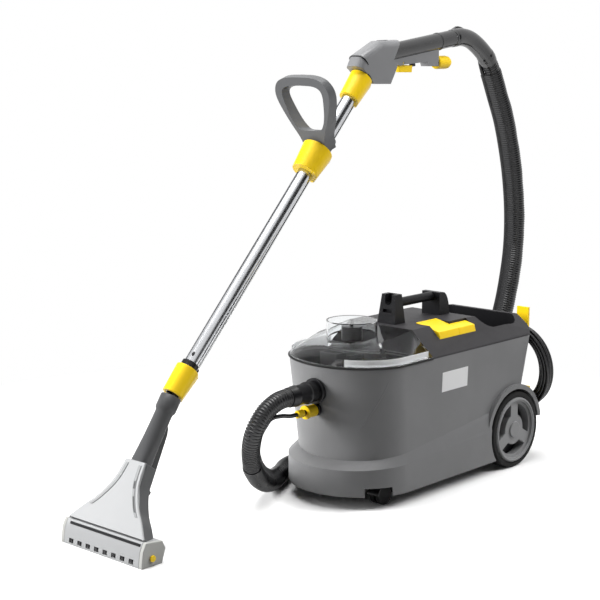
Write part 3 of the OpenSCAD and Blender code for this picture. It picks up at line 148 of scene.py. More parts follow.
def mixOf(tree, share, first, second):
    mix = addNode(tree, "MixShader")
    tree.links.new(share, mix.inputs[0])
    tree.links.new(first, mix.inputs[1])
    tree.links.new(second, mix.inputs[2])
    return mix.outputs[0]


def evenShader(tree, kind, tone, **values):
    # a shader of one even grey
    return addNode(tree, kind, Color=(tone, tone, tone, 1), **values).outputs[0]


def makeWorld():
    world = bpy.data.worlds.new("studio")
    bpy.context.scene.world = world
    world.use_nodes = True
    tree = world.node_tree
    tree.nodes.clear()
    out = addNode(tree, "OutputWorld")
    soft = evenShader(tree, "Background", 1, Strength=stage["skyLight"])
    white = evenShader(tree, "Background", 1, Strength=1.0)
    tree.links.new(mixOf(tree, seenDirectly(tree), soft, white), out.inputs[0])


def makeFloor():
    ground = added("studioFloor", bpy.ops.mesh.primitive_plane_add, size=stage["floorSize"])
    mat = bpy.data.materials.new("paleFloor")
    mat.use_nodes = True
    tree = mat.node_tree
    tree.nodes.clear()
    out = addNode(tree, "OutputMaterial")
    near = evenShader(tree, "BsdfDiffuse", stage["floorTone"])
    dim = evenShader(tree, "BsdfDiffuse", stage["floorBounce"])
    far = evenShader(tree, "Emission", 1, Strength=1.0)
    # the floor fades into the white background away from the object
    where = addNode(tree, "TexCoord")
    reach = addNode(tree, "VectorMath")
    reach.operation = "LENGTH"
    fade = addNode(tree, "MapRange", **{"From Min": stage["fadeFrom"], "From Max": stage["fadeTo"]})
    tree.links.new(where.outputs["Object"], reach.inputs[0])
    tree.links.new(reach.outputs["Value"], fade.inputs["Value"])
    seen = mixOf(tree, fade.outputs["Result"], near, far)
    tree.links.new(mixOf(tree, seenDirectly(tree), dim, seen), out.inputs[0])
    ground.data.materials.append(mat)


makeCamera()
makeWorld()
makeFloor()
for lampName, lampSpec in lamps.items():
    areaLamp(lampName, **lampSpec)
for flagName, flagSpec in flags.items():
    darkFlag(flagName, **flagSpec)
print("camera and stage made")

# finishes
moulded = dict(
    bodyGrey=dict(colour=(0.172, 0.173, 0.176), rough=0.46, grain=2200, depth=0.10, drift=0.05),
    coverCharcoal=dict(colour=(0.021, 0.020, 0.022), rough=0.55, grain=1800, depth=0.16, drift=0.06),
    handleBlack=dict(colour=(0.008, 0.008, 0.009), rough=0.42, grain=1600, depth=0.14, drift=0.08),
    gripBlack=dict(colour=(0.008, 0.008, 0.009), rough=0.20, grain=900, depth=0.03, drift=0.08, shine=0.8),
    fittingBlack=dict(colour=(0.006, 0.006, 0.007), rough=0.30, grain=1500, depth=0.06, drift=0.08,
                      shine=0.35),
    signalYellow=dict(colour=(0.930, 0.630, 0.012), rough=0.36, grain=900, depth=0.05, drift=0.03),
    tankGrey=dict(colour=(0.024, 0.025, 0.026), rough=0.38, grain=900, depth=0.05, drift=0.05),
    hubGrey=dict(colour=(0.235, 0.236, 0.240), rough=0.45, grain=1800, depth=0.12, drift=0.06),
    rimGrey=dict(colour=(0.225, 0.226, 0.230), rough=0.40, grain=1800, depth=0.10, drift=0.05),
    neckGrey=dict(colour=(0.060, 0.061, 0.063), rough=0.42, grain=1500, depth=0.10, drift=0.05),
    shellGrey=dict(colour=(0.085, 0.086, 0.088), rough=0.40, grain=1500, depth=0.08, drift=0.05),
    gripGrey=dict(colour=(0.180, 0.182, 0.188), rough=0.30, grain=1400, depth=0.06, drift=0.04, shine=0.6),
    loopGrey=dict(colour=(0.100, 0.102, 0.106), rough=0.34, grain=1400, depth=0.06, drift=0.04),
    capGrey=dict(colour=(0.400, 0.402, 0.385), rough=0.42, grain=1400, depth=0.08, drift=0.05),
    labelWhite=dict(colour=(0.780, 0.782, 0.785), rough=0.30, grain=600, depth=0.03, drift=0.02),
    motorBlack=dict(colour=(0.020, 0.020, 0.021), rough=0.50, grain=700, depth=0.10, drift=0.10),
    tyreBlack=dict(colour=(0.011, 0.011, 0.011), rough=0.72, grain=1100, depth=0.22, drift=0.15),
    sealBlack=dict(colour=(0.009, 0.009, 0.009), rough=0.55, grain=900, depth=0.08, drift=0.10),
    hoseBlack=dict(colour=(0.006, 0.006, 0.007), rough=0.26, grain=500, depth=0.05, drift=0.20, shine=0.6),
    filmBlack=dict(colour=(0.006, 0.006, 0.007), rough=0.28, grain=260, depth=0.12, drift=0.25, shine=0.45),
    cordBlack=dict(colour=(0.007, 0.007, 0.008), rough=0.36, grain=900, depth=0.06, drift=0.15, shine=0.5),
)
clears = dict(
    clearLid=dict(tint=(0.95, 0.96, 0.965), rough=0.0, clear=1.0, bending=1.13),
    frostedLidAndHighlight=dict(tint=(0.90, 0.91, 0.915), rough=0.30, clear=0.35),
    frostedHood=dict(tint=(0.36, 0.365, 0.37), rough=0.22, clear=0.12),
    frostedEdge=dict(tint=(0.26, 0.265, 0.27), rough=0.24, clear=0.12),
)
metals = dict(
    # one chrome in two strengths: darker on the suction tube as painted shade of its reflection, brighter on
    # the spray pipe as a painted highlight
    chromeTubeShade=dict(colour=(0.60, 0.61, 0.63), rough=0.20, streak=60.0),
    chromePipeHighlight=dict(colour=(0.88, 0.89, 0.90), rough=0.12, streak=60.0),
    turnedSteel=dict(colour=(0.58, 0.58, 0.59), rough=0.28, streak=400.0),
    pressedAluminium=dict(colour=(0.72, 0.72, 0.73), rough=0.35, streak=300.0),
)
# patterns have a scale and a detail, spreads are added to the roughness
wear = dict(slow=(9.0, 3.0), slowFrom=0.3, slowTo=0.7, grainDetail=2.0, grainHeight=0.0004,
            patches=(34.0, 4.0), rubbed=0.06, dull=0.08, blackShine=0.22, greyShine=0.36,
            clearDrift=0.015, clearPatches=(26.0, 3.0), clearSpread=0.05,
            metalDrift=0.03, metalDetail=5.0, metalSpread=0.08)
finishes = {}


def objectPattern(tree, scale, detail):
    where = addNode(tree, "TexCoord")
    noise = addNode(tree, "TexNoise", Scale=scale, Detail=detail)
    tree.links.new(where.outputs["Object"], noise.inputs["Vector"])
    return noise


def newFinish(name):
    mat = bpy.data.materials.new(name)
    mat.use_nodes = True
    finishes[name] = mat
    return mat.node_tree, mat.node_tree.nodes["Principled BSDF"]


def spreadRoughness(tree, skin, pattern, low, high):
    spread = addNode(tree, "MapRange", **{"To Min": low, "To Max": high})
    tree.links.new(pattern.outputs["Fac"], spread.inputs["Value"])
    tree.links.new(spread.outputs["Result"], skin.inputs["Roughness"])


def driftColour(tree, skin, colour, drift):
    slow = objectPattern(tree, *wear["slow"])
    ramp = addNode(tree, "ValToRGB")
    low, high = ramp.color_ramp.elements
    low.color = (*[c * (1 - drift) for c in colour], 1)
    high.color = (*[min(1.0, c * (1 + drift)) for c in colour], 1)
    low.position = wear["slowFrom"]
    high.position = wear["slowTo"]
    tree.links.new(slow.outputs["Fac"], ramp.inputs["Fac"])
    tree.links.new(ramp.outputs["Color"], skin.inputs["Base Color"])


def fineGrain(tree, skin, scale, depth):
    grain = objectPattern(tree, scale, wear["grainDetail"])
    bump = addNode(tree, "Bump", Strength=depth, Distance=wear["grainHeight"])
    tree.links.new(grain.outputs["Fac"], bump.inputs["Height"])
    tree.links.new(bump.outputs["Normal"], skin.inputs["Normal"])


def mouldedFinish(name, spec, specular):
    # slow drift of tone, rubbed and dull patches, and the fine grain of the mould
    tree, skin = newFinish(name)
    skin.inputs["Specular IOR Level"].default_value = specular
    driftColour(tree, skin, spec["colour"], spec["drift"])
    patches = objectPattern(tree, *wear["patches"])
    spreadRoughness(tree, skin, patches, spec["rough"] - wear["rubbed"], spec["rough"] + wear["dull"])
    fineGrain(tree, skin, spec["grain"], spec["depth"])


def clearFinish(name, tint, rough, clear, bending=1.45):
    tree, skin = newFinish(name)
    driftColour(tree, skin, tint, wear["clearDrift"])
    skin.inputs["Transmission Weight"].default_value = clear
    skin.inputs["IOR"].default_value = bending
    patches = objectPattern(tree, *wear["clearPatches"])
    spreadRoughness(tree, skin, patches, rough, rough + wear["clearSpread"])


def metalFinish(name, colour, rough, streak):
    tree, skin = newFinish(name)
    skin.inputs["Metallic"].default_value = 1.0
    driftColour(tree, skin, colour, wear["metalDrift"])
    streaks = objectPattern(tree, streak, wear["metalDetail"])
    spreadRoughness(tree, skin, streaks, rough, rough + wear["metalSpread"])


for finishName, finishSpec in moulded.items():
    usual = wear["blackShine"] if "Black" in finishName else wear["greyShine"]
    mouldedFinish(finishName, finishSpec, finishSpec.get("shine", usual))
for finishName, finishSpec in clears.items():
    clearFinish(finishName, **finishSpec)
for finishName, finishSpec in metals.items():
    metalFinish(finishName, **finishSpec)
print("finishes made:", len(finishes))

bodyOfNode = {node: owner for owner, listed in frame["record"]["behaviour"]["bodies"].items()
              for node in listed}
# welding in metres, angles in degrees
edges = dict(weld=0.00002, flatBelow=0.4, roundFrom=32, segments=3, smoothBelow=35, turnedSmooth=40,
             tubeSmooth=50)


def paint(obj, finish):
    obj.data.materials.clear()
    obj.data.materials.append(finishes[finish])


def settle(piece, finish, node, replaced=()):
    # a piece takes its body from the node that it belongs to
    paint(piece, finish)
    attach(piece, bodyOfNode[node])
    if replaced:
        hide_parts(*replaced)
    return piece


def choose(piece):
    bpy.ops.object.select_all(action="DESELECT")
    piece.select_set(True)
    bpy.context.view_layer.objects.active = piece


def editAll():
    bpy.ops.object.mode_set(mode="EDIT")
    bpy.ops.mesh.select_all(action="SELECT")


def takeOver(node, name):
    piece = bpy.data.objects.new(name, cad[node].data.copy())
    bpy.context.collection.objects.link(piece)
    choose(piece)
    editAll()
    bpy.ops.mesh.remove_doubles(threshold=edges["weld"])
    bpy.ops.mesh.dissolve_limited(angle_limit=radians(edges["flatBelow"]))
    bpy.ops.object.mode_set(mode="OBJECT")
    return piece


def smoothBelow(angle):
    bpy.ops.object.shade_smooth_by_angle(angle=radians(angle))


def roundEdges(piece, width):
    bevel = piece.modifiers.new("roundEdges", "BEVEL")
    bevel.width = mm(width)
    bevel.segments = edges["segments"]
    bevel.limit_method = "ANGLE"
    bevel.angle_limit = radians(edges["roundFrom"])
    bevel.harden_normals = False
    choose(piece)
    bpy.ops.object.modifier_apply(modifier=bevel.name)
    smoothBelow(edges["smoothBelow"])
    flatter = piece.modifiers.new("flatFaces", "WEIGHTED_NORMAL")
    flatter.keep_sharp = True
    bpy.ops.object.modifier_apply(modifier=flatter.name)


def putAt(piece, spot, tiltX, tiltY=0.0):
    # the piece is turned about its own axes, moved to its place, and that place goes into its mesh
    choose(piece)
    piece.rotation_euler = (radians(tiltX), radians(tiltY), 0)
    piece.location = spot
    bpy.ops.object.transform_apply(location=True, rotation=True, scale=True)
    return piece


def sizeTo(piece, size):
    piece.scale = [mm(v) for v in size]
    bpy.ops.object.transform_apply(location=False, rotation=False, scale=True)


def blockPiece(name, size, width):
    # a box of a size in millimetres about the origin, with rounded edges
    piece = added(name, bpy.ops.mesh.primitive_cube_add, size=1)
    sizeTo(piece, size)
    roundEdges(piece, width)
    return piece


def blockTrim(name, spec, spot, finish, node):
    # a small block that belongs to a node
    piece = blockPiece(name, spec["size"], spec["edge"])
    putAt(piece, place(*spot), spec["tilt"])
    settle(piece, finish, node)


def closeMesh(angle):
    # faces turned outwards, and smooth but for the sharp edges
    editAll()
    bpy.ops.mesh.normals_make_consistent(inside=False)
    bpy.ops.object.mode_set(mode="OBJECT")
    smoothBelow(angle)


def turnedPiece(name, profile, sides=48):
    # a turned piece along +Z, drawn out from its first ring through a list of (height, radius)
    piece = added(name, bpy.ops.mesh.primitive_circle_add, vertices=sides, radius=mm(profile[0][1]),
                  fill_type="NGON")
    editAll()
    bpy.ops.transform.translate(value=(0, 0, mm(profile[0][0])))
    for (low, before), (high, after) in zip(profile, profile[1:]):
        bpy.ops.mesh.extrude_region_move(TRANSFORM_OT_translate=dict(value=(0, 0, mm(high - low))))
        bpy.ops.transform.resize(value=(after / before, after / before, 1))
    closeMesh(edges["turnedSmooth"])
    return piece


def meshPiece(name, verts, faces, angle=edges["turnedSmooth"]):
    mesh = bpy.data.meshes.new(name)
    mesh.from_pydata(verts, [], faces)
    mesh.update()
    obj = bpy.data.objects.new(name, mesh)
    bpy.context.collection.objects.link(obj)
    choose(obj)
    closeMesh(angle)
    return obj


def ringFaces(first, second, count):
    # faces between two rings of points, each given by the number of its first point
    return [(first + k, first + (k + 1) % count, second + (k + 1) % count, second + k) for k in range(count)]


def prismPiece(name, outline, low, high, toPlace):
    # an outline (u, v) drawn from one depth to another, with its places given by a frame
    count = len(outline)
    verts = [toPlace(u, v, low) for u, v in outline] + [toPlace(u, v, high) for u, v in outline]
    faces = [tuple(range(count)), tuple(range(2 * count - 1, count - 1, -1))]
    faces += ringFaces(0, count, count)
    return meshPiece(name, verts, faces)


def platePiece(name, outline, low, high, toPlace, width):
    piece = prismPiece(name, outline, low, high, toPlace)
    roundEdges(piece, width)
    return piece


def tubeMesh(name, rings):
    # a skin over rings of points, with both ends closed
    sides = len(rings[0])
    verts = [place(*p) for ring in rings for p in ring]
    faces = []
    for i in range(len(rings) - 1):
        faces += ringFaces(i * sides, (i + 1) * sides, sides)
    last = (len(rings) - 1) * sides
    faces.append(tuple(range(sides - 1, -1, -1)))
    faces.append(tuple(range(last, last + sides)))
    return meshPiece(name, verts, faces, edges["tubeSmooth"])


# cords: the hose, the spray hose and the mains cord
hoseRoute = [(0, -81, 266), (0, -92, 266), (0, -118, 262), (-4, -149, 245), (-9, -171, 217),
             (-18, -175, 185), (-36, -161, 148), (-62, -128, 102), (-90, -78, 62), (-120, -20, 34),
             (-150, 38, 24), (-180, 98, 24), (-194, 170, 24), (-202, 250, 24), (-206, 350, 24),
             (-206, 450, 24), (-202, 550, 24), (-194, 640, 26), (-174, 730, 46), (-152, 800, 96),
             (-130, 850, 166), (-112, 882, 250), (-100, 904, 340), (-95, 921, 428), (-95, 933, 505),
             (-95, 933, 590), (-95, 922, 675), (-95, 903, 755), (-95, 874, 840), (-95, 839, 910),
             (-95, 806, 973), (-95, 780, 1005), (-95, 745, 1031), (-95, 706, 1050), (-95, 668, 1056.5),
             (-95, 634.5, 1053.5)]
# a rib's shape: how far along the pitch, and its share of the height there
hose = dict(diameter=42.0, ribHeight=2.2, ribCount=38, ribLength=236.0, sleeveGap=30.0, bareSides=48,
            coveredRise=1.0, coveredSteps=90, cuffSteps=12, tipBack=2.0, gapStart=1.0, curveSteps=20,
            ribShape=[(0.0, 0.0), (0.10, 0.1), (0.18, 0.75), (0.26, 1.0), (0.42, 1.0), (0.50, 0.75),
                      (0.58, 0.1), (0.68, 0.0)])
# slack waves of the film: height, length over a radian, and start
film = dict(sides=44, thick=1.4, grooveDip=2.6, ribShow=0.75, start=2.0, ringsPerRib=4, edgeSink=0.8,
            smallCount=11, dipCount=3, waves=[(0.35, 23.0, 0.0), (0.25, 9.7, 1.3)])
bend = dict(length=176.0, diameter=45.0, rings=60, sides=48, inset=1.0, swell=0.9, ends=(0.0, 0.6),
            lipFrom=4, lipTo=9, lipRise=0.9)
sprayLine = dict(diameter=10.0, gap=0.5, cuffRoom=3.0, tailEnd=(0, -50.1, 222),
                 start=[(0, -74, 223), (0, -98, 228)], firstAt=66, step=34, coveredSteps=64, endRoom=20,
                 curveSteps=4, riseFrom=0.5, riseTo=0.6, riseTurn=47.0, farTurn=90.0, farRun=60.0,
                 finish=[(-125, 640, 1052), (-123, 612, 1040), (-118, 588, 1022), (-114, 566, 1010),
                         (-112.7, 545.8, 1006.7)])
mains = dict(diameter=7.4, turns=12.875, gap=0.8, centre=(84, 228), semi=(102, 111), nearY=666, topZ=330,
             tilt=0.13, layers=4, fromAngle=225, perTurn=72, glandEnd=(18, 680, 96), leadIn=9,
             curveSteps=8, plugEdge=1.2,
             lead=[(18, 680, 96), (18, 692, 96), (21, 704, 100), (25, 713, 110), (26, 716.5, 124)],
             tail=[(50, 693, 112), (42, 692, 98), (41, 692, 84)])


def smoothCurve(points, steps):
    pts = [Vector(p) for p in points]
    ends = [2 * pts[0] - pts[1]] + pts + [2 * pts[-1] - pts[-2]]
    line = []
    for i in range(len(pts) - 1):
        a, b, c, d = ends[i:i + 4]
        for k in range(steps):
            t = k / steps
            line.append(0.5 * (2 * b + (c - a) * t + (2 * a - 5 * b + 4 * c - d) * t * t
                               + (3 * b - a - 3 * c + d) * t ** 3))
    line.append(pts[-1])
    return line


class Route:
    # a line of points with the length along it; a heading is taken over a few millimetres to each side
    near = 4

    def __init__(self, line):
        self.line = line
        self.along = [0.0]
        for a, b in zip(line, line[1:]):
            self.along.append(self.along[-1] + (b - a).length)
        self.length = self.along[-1]

    def at(self, s):
        s = min(max(s, 0.0), self.length)
        low = min(bisect_right(self.along, s), len(self.line) - 1) - 1
        t = (s - self.along[low]) / max(1e-9, self.along[low + 1] - self.along[low])
        return self.line[low].lerp(self.line[low + 1], t)

    def heading(self, s):
        return (self.at(s + self.near) - self.at(s - self.near)).normalized()

    def axes(self, s):
        way = self.heading(s)
        side = way.cross(Vector((1, 0, 0))).normalized()
        return side, way.cross(side)


hoseWay = Route(smoothCurve(hoseRoute, hose["curveSteps"]))
hoseEnd = hoseWay.length - bend["length"]
hoseTip = hoseWay.length - hose["tipBack"]
sleeveStart = hose["ribLength"] + film["start"]
sleeveEnd = hoseEnd - hose["sleeveGap"]
ribPitch = hose["ribLength"] / hose["ribCount"]
sprayOff = hose["diameter"] / 2 + sprayLine["diameter"] / 2 + sprayLine["gap"]
cuffOff = bend["diameter"] / 2 + sprayLine["diameter"] / 2 + sprayLine["cuffRoom"]


def ramp(t):
    return max(0.0, min(1.0, t))


def sideTurn(s):
    # the spray hose turns outwards as the hose rises, and goes round to the far side of the smooth cuff
    rise = ramp((s / hoseWay.length - sprayLine["riseFrom"]) / (sprayLine["riseTo"] - sprayLine["riseFrom"]))
    away = ramp((s - sleeveEnd) / sprayLine["farRun"])
    return radians(sprayLine["riseTurn"] * rise + sprayLine["farTurn"] * away)


def onSection(s, u, v):
    # a point of the hose's cross-section, turned with the spray hose
    side, up = hoseWay.axes(s)
    a = sideTurn(s)
    across = u * cos(a) + v * sin(a)
    upward = v * cos(a) - u * sin(a)
    return hoseWay.at(s) + across * side + upward * up


def between(first, last, steps):
    return [first + (last - first) * i / steps for i in range(steps + 1)]


def turns(sides):
    return [2 * pi * k / sides for k in range(sides)]


def wayAt(line, i):
    return (line[min(i + 1, len(line) - 1)] - line[max(i - 1, 0)]).normalized()


def roundRing(route, s, radius, sides):
    side, up = route.axes(s)
    centre = route.at(s)
    return [centre + radius * (cos(a) * side + sin(a) * up) for a in turns(sides)]


def ribStops(start, count, groove):
    return [(start + (n + part) * ribPitch, groove + rise * hose["ribHeight"])
            for n in range(count) for part, rise in hose["ribShape"]]


def makeHose():
    # ribs where the hose shows, and the plain run under the film and in the cuff
    groove = hose["diameter"] / 2 - hose["ribHeight"]
    covered = groove + hose["coveredRise"]
    stops = ribStops(0.0, hose["ribCount"], groove)
    stops += [(s, covered) for s in between(hose["ribLength"], sleeveEnd, hose["coveredSteps"])]
    stops += ribStops(sleeveEnd + hose["gapStart"], int(hose["sleeveGap"] / ribPitch), groove)
    stops += [(s, covered) for s in between(hoseEnd, hoseTip, hose["cuffSteps"])]
    rings = [roundRing(hoseWay, s, radius, hose["bareSides"]) for s, radius in stops]
    piece = tubeMesh("ribbedHose", rings)
    settle(piece, "hoseBlack", "suction_hose", ["suction_hose"])
    return piece, [place(*hoseWay.at(s)) for s, _ in stops]


def filmRing(s, lift):
    # the film lies round the hose and the spray hose beside it, and sinks a little between them
    big = hose["diameter"] / 2 + film["thick"]
    small = sprayLine["diameter"] / 2 + film["thick"]
    turn = acos((big - small) / sprayOff)
    smallCount, dipCount = film["smallCount"], film["dipCount"]
    bigCount = film["sides"] - smallCount - 2 * dipCount

    def arc(first, last, count, radius, shift):
        return [(radius * cos(a) + shift, radius * sin(a)) for a in between(first, last, count - 1)]

    def dip(first, last):
        points = []
        for t in between(0, 1, dipCount + 1)[1:-1]:
            u = first[0] + (last[0] - first[0]) * t
            v = first[1] + (last[1] - first[1]) * t
            sink = film["grooveDip"] * sin(pi * t) * (-1 if v > 0 else 1)
            points.append((u, v + sink))
        return points

    ring = arc(pi + turn, 3 * pi - turn, bigCount, big + lift, 0)
    spray = arc(pi - turn, pi + turn, smallCount, small, -sprayOff)
    outline = ring + dip(ring[-1], spray[0]) + spray + dip(spray[-1], ring[0])
    return [onSection(s, u, v) for u, v in outline]


def makeFilm():
    # the ribs show through the film, which also has slow slack waves and turned-in ends
    count = int((sleeveEnd - sleeveStart) / (ribPitch / film["ringsPerRib"]))
    rings = []
    for i, s in enumerate(between(sleeveStart, sleeveEnd, count)):
        rib = film["ribShow"] * cos(2 * pi * i / film["ringsPerRib"])
        slack = sum(height * sin(s / length + shift) for height, length, shift in film["waves"])
        edge = -film["edgeSink"] if i in (0, count) else 0.0
        rings.append(filmRing(s, rib + slack + edge))
    piece = tubeMesh("filmSleeve", rings)
    return settle(piece, "filmBlack", "hose_sleeve", ["hose_sleeve"])


def makeBendCuff():
    # a smooth cuff with a beaded lip at its lower end
    rings = []
    radius = bend["diameter"] / 2 - bend["inset"]
    for i, s in enumerate(between(hoseEnd, hoseWay.length, bend["rings"])):
        fromEnd = min(i, bend["rings"] - i)
        swell = bend["ends"][fromEnd] if fromEnd < len(bend["ends"]) else bend["swell"]
        if bend["lipFrom"] <= i <= bend["lipTo"]:
            swell += bend["lipRise"]
        rings.append(roundRing(hoseWay, s, radius + swell, bend["sides"]))
    piece = tubeMesh("bendCuff", rings)
    return settle(piece, "gripBlack", "bend_cuff", ["bend_cuff"])


def curveCord(name, line, diameter, finish, node, replaced):
    data = bpy.data.curves.new(name, "CURVE")
    data.dimensions = "3D"
    data.bevel_depth = mm(diameter / 2)
    data.bevel_resolution = 3
    data.use_fill_caps = True
    spline = data.splines.new("POLY")
    spline.points.add(len(line) - 1)
    for point, spot in zip(spline.points, line):
        point.co = (*place(*spot), 1)
    spline.use_smooth = True
    obj = bpy.data.objects.new(name, data)
    bpy.context.collection.objects.link(obj)
    return settle(obj, finish, node, replaced)


def makeSprayHose():
    step = sprayLine["step"]
    bare = [*range(sprayLine["firstAt"], int(hose["ribLength"]) + 1, step)]
    covered = between(sleeveStart, sleeveEnd, sprayLine["coveredSteps"])
    beside = range(int(sleeveEnd) + step, int(hoseWay.length) - sprayLine["endRoom"], step)
    points = [sprayLine["tailEnd"], *sprayLine["start"]]
    points += [onSection(s, -sprayOff, 0) for s in bare + covered]
    points += [onSection(s, -cuffOff, 0) for s in beside]
    line = smoothCurve(points + sprayLine["finish"], sprayLine["curveSteps"])
    piece = curveCord("sprayHose", line, sprayLine["diameter"], "hoseBlack", "spray_hose", ["spray_hose"])
    return piece, Route(line).length


def hankPoint(t):
    layerTurns = mains["turns"] / mains["layers"]
    pitch = mains["diameter"] + mains["gap"]
    m = t - 2 * layerTurns * floor(t / (2 * layerTurns))
    draw = pitch * (layerTurns - abs(m - layerTurns))
    k = max(1, min(mains["layers"] - 1, floor(t / layerTurns + 0.5)))
    layer = k - 1 + ramp(2 * (t - k * layerTurns) + 0.5)
    a = radians(mains["fromAngle"] - 360 * t)
    z = mains["centre"][1] + (mains["semi"][1] - draw) * sin(a)
    y = mains["nearY"] + pitch * (mains["layers"] - 1 - layer) + mains["tilt"] * (mains["topZ"] - z)
    return Vector((mains["centre"][0] + (mains["semi"][0] - draw) * cos(a), y, z))


def makeMainsCord():
    count = int(mains["turns"] * mains["perTurn"])
    loops = [hankPoint(t) for t in between(0.0, mains["turns"], count)]
    inward = (loops[1] - loops[0]).normalized()
    first = loops[0] - mains["diameter"] * inward
    last = loops[-1] + mains["diameter"] * (loops[-1] - loops[-2]).normalized()
    lead = smoothCurve([*mains["lead"], first - mains["leadIn"] * inward, first], mains["curveSteps"])
    tail = smoothCurve([last, *mains["tail"]], mains["curveSteps"])
    line = lead + loops + tail
    piece = curveCord("mainsCord", line, mains["diameter"], "cordBlack", "cord_hank",
                      ["cord_lead", "cord_hank", "cord_tail"])
    return piece, Route(line).length


def roundedCopy(node, finish, width):
    words = node.split("_")
    piece = takeOver(node, words[0] + "".join(w.title() for w in words[1:]))
    roundEdges(piece, width)
    return settle(piece, finish, node, [node])


mainsPlug = roundedCopy("mains_plug", "fittingBlack", mains["plugEdge"])
ribbedHose, hosePath = makeHose()
filmSleeve = makeFilm()
bendCuff = makeBendCuff()
sprayHose, sprayLength = makeSprayHose()
mainsCord, mainsLength = makeMainsCord()
print("cords made: hose %.2f m, spray hose %.2f m, mains cord %.2f m"
      % (mm(hoseTip), mm(sprayLength), mm(mainsLength)))

# solid pieces taken over from the frame, by finish, each with the width of its rounded edges
rounded = dict(
    bodyGrey=dict(base_pan=2.5, body_shell=2.5),
    coverCharcoal=dict(top_cover=1.2),
    handleBlack=dict(carry_handle=3.0),
    clearLid=dict(tank_lid=1.2),
    sealBlack=dict(lid_seal=0.8),
    tankGrey=dict(lint_filter=0.6),
    fittingBlack=dict(float_cup=1.2, inlet_elbow=1.0, caster_fork_left=1.0, caster_fork_right=1.0,
                      suction_port=1.2, spray_socket=0.8, cord_gland=0.6),
    signalYellow=dict(suction_switch=0.35, spray_switch=1.8, coupling_collar=1.0, coupling_tail=1.0,
                      upper_hook=2.0, lower_hook=2.0, lower_sleeve=2.0, upper_sleeve=2.0,
                      clamp_sleeve=2.0, trigger=1.5, flow_knob=1.5, end_knobs=1.0),
    hubGrey=dict(wheel_hub_left=1.5, wheel_hub_right=1.5),
    tyreBlack=dict(wheel_tyre_left=4.0, wheel_tyre_right=4.0, caster_wheels_left=2.0,
                   caster_wheels_right=2.0),
    loopGrey=dict(d_handle=3.0),
    gripGrey=dict(elbow=4.0, valve_housing=2.5),
    gripBlack=dict(grip_tube=0.5),
    frostedHood=dict(nozzle_hood=0.8),
    capGrey=dict(nozzle_ends=1.5),
    chromeTubeShade=dict(suction_tube=0.4),
    chromePipeHighlight=dict(spray_pipe=0.4),
)
# and nodes that show as they are
plain = dict(
    motorBlack=("fresh_tank", "switch_box", "suction_motor", "water_pump"),
    tankGrey=("dirty_tank",),
    fittingBlack=("float_guide",),
    turnedSteel=("handle_screws", "rear_axle"),
    pressedAluminium=("fan_rotor",),
)
solid = {}
for finish, widths in rounded.items():
    for nodeName, width in widths.items():
        solid[nodeName] = roundedCopy(nodeName, finish, width)
for finish, nodeNames in plain.items():
    for nodeName in nodeNames:
        paint(cad[nodeName], finish)
print("solid pieces finished")

# body: its plan at the rim and at the foot, for trim that lies on it
body = dict(halfWidth=157, noseY=8, noseDepth=131, rimZ=325, leanNose=25, leanSide=7, footZ=103,
            footSlope=0.107, lidRear=239.5)
seal = dict(radius=2.7, z=326.4, proud=0.6, angleStep=3, sideFrom=140, sideStep=6, rings=180, sides=12)
crease = dict(rise=0.9, halfWidth=2.2, sink=1.0, root=3.0, faintEnd=0.08, centreY=160, curveSteps=8,
              points=[(20, 300), (27, 270), (37, 232), (47, 196), (54, 172)])
label = dict(y0=280, y1=379, z0=240, z1=287, thick=0.9, proud=0.3, edge=0.3)
# whitish strips at the lid's foot: partly frosted plastic, partly painted highlight
lidBand = dict(low=329, high=345, inset=5.0, thick=1.2, rightTo=62, leftTo=34, angleStep=2, edge=0.3)
# the trough's top, knee and fall are each given at its front and at its rear
trough = dict(halfWidth=126, y0=484, y1=644, corner=44, cornerStep=10, low=321, cutRoom=40,
              frontY=474, rearY=660, top=(386, 370), knee=(95, 100), fall=(0.92, 0.72),
              below=1.2, inset=0.3, thick=1.2)


def wallPoint(angle, y, z, proud=0.0):
    # a point of the body's wall: round the nose by an angle from the right, or at y along the side
    a = radians(angle)
    rim = Vector((body["halfWidth"] * cos(a), body["noseY"] + body["noseDepth"] * (1 - sin(a)), 0))
    foot = Vector(((body["halfWidth"] - body["leanSide"]) * cos(a), rim.y + body["leanNose"], 0))
    if y is not None:
        rim.y = y
        foot.y = y
    footZ = body["footZ"] + body["footSlope"] * foot.y
    t = (z - footZ) / (body["rimZ"] - footZ)
    spot = foot.lerp(rim, t)
    spot.z = z
    out = Vector((cos(a) / body["halfWidth"], -sin(a) / body["noseDepth"], 0)).normalized()
    return spot + proud * out


def makeSealBead():
    # the round edge of the seal, proud of the rim from one rear corner of the lid to the other
    rear = int(body["lidRear"])
    places = [(0, y) for y in range(rear, seal["sideFrom"], -seal["sideStep"])]
    places += [(a, None) for a in range(0, 181, seal["angleStep"])]
    places += [(180, y) for y in range(seal["sideFrom"] + 1, rear, seal["sideStep"])]
    run = [wallPoint(a, y, body["rimZ"], seal["proud"]) for a, y in places]
    way = Route([Vector((p.x, p.y, seal["z"])) for p in run])
    rings = []
    for s in between(0.0, way.length, seal["rings"]):
        outward = way.heading(s).cross(Vector((0, 0, 1))).normalized()
        rings.append([way.at(s) + seal["radius"] * (cos(a) * outward + Vector((0, 0, sin(a))))
                      for a in turns(seal["sides"])])
    settle(tubeMesh("sealBead", rings), "sealBlack", "lid_seal")


def makeCrease():
    # the soft edge where the rounded nose runs into the flat side
    line = smoothCurve([wallPoint(a, None, z) for a, z in crease["points"]], crease["curveSteps"])
    rings = []
    for i, spot in enumerate(line):
        outward = Vector((spot.x, spot.y - crease["centreY"], 0)).normalized()
        across = wayAt(line, i).cross(outward).normalized() * crease["halfWidth"]
        share = crease["faintEnd"] + (1 - 2 * crease["faintEnd"]) * i / (len(line) - 1)
        ridge = outward * crease["rise"] * sin(pi * share)
        low = -crease["sink"] * outward
        rings.append([spot + across + low, spot + ridge, spot - across + low, spot + crease["root"] * low])
    settle(tubeMesh("noseCrease", rings), "bodyGrey", "body_shell")


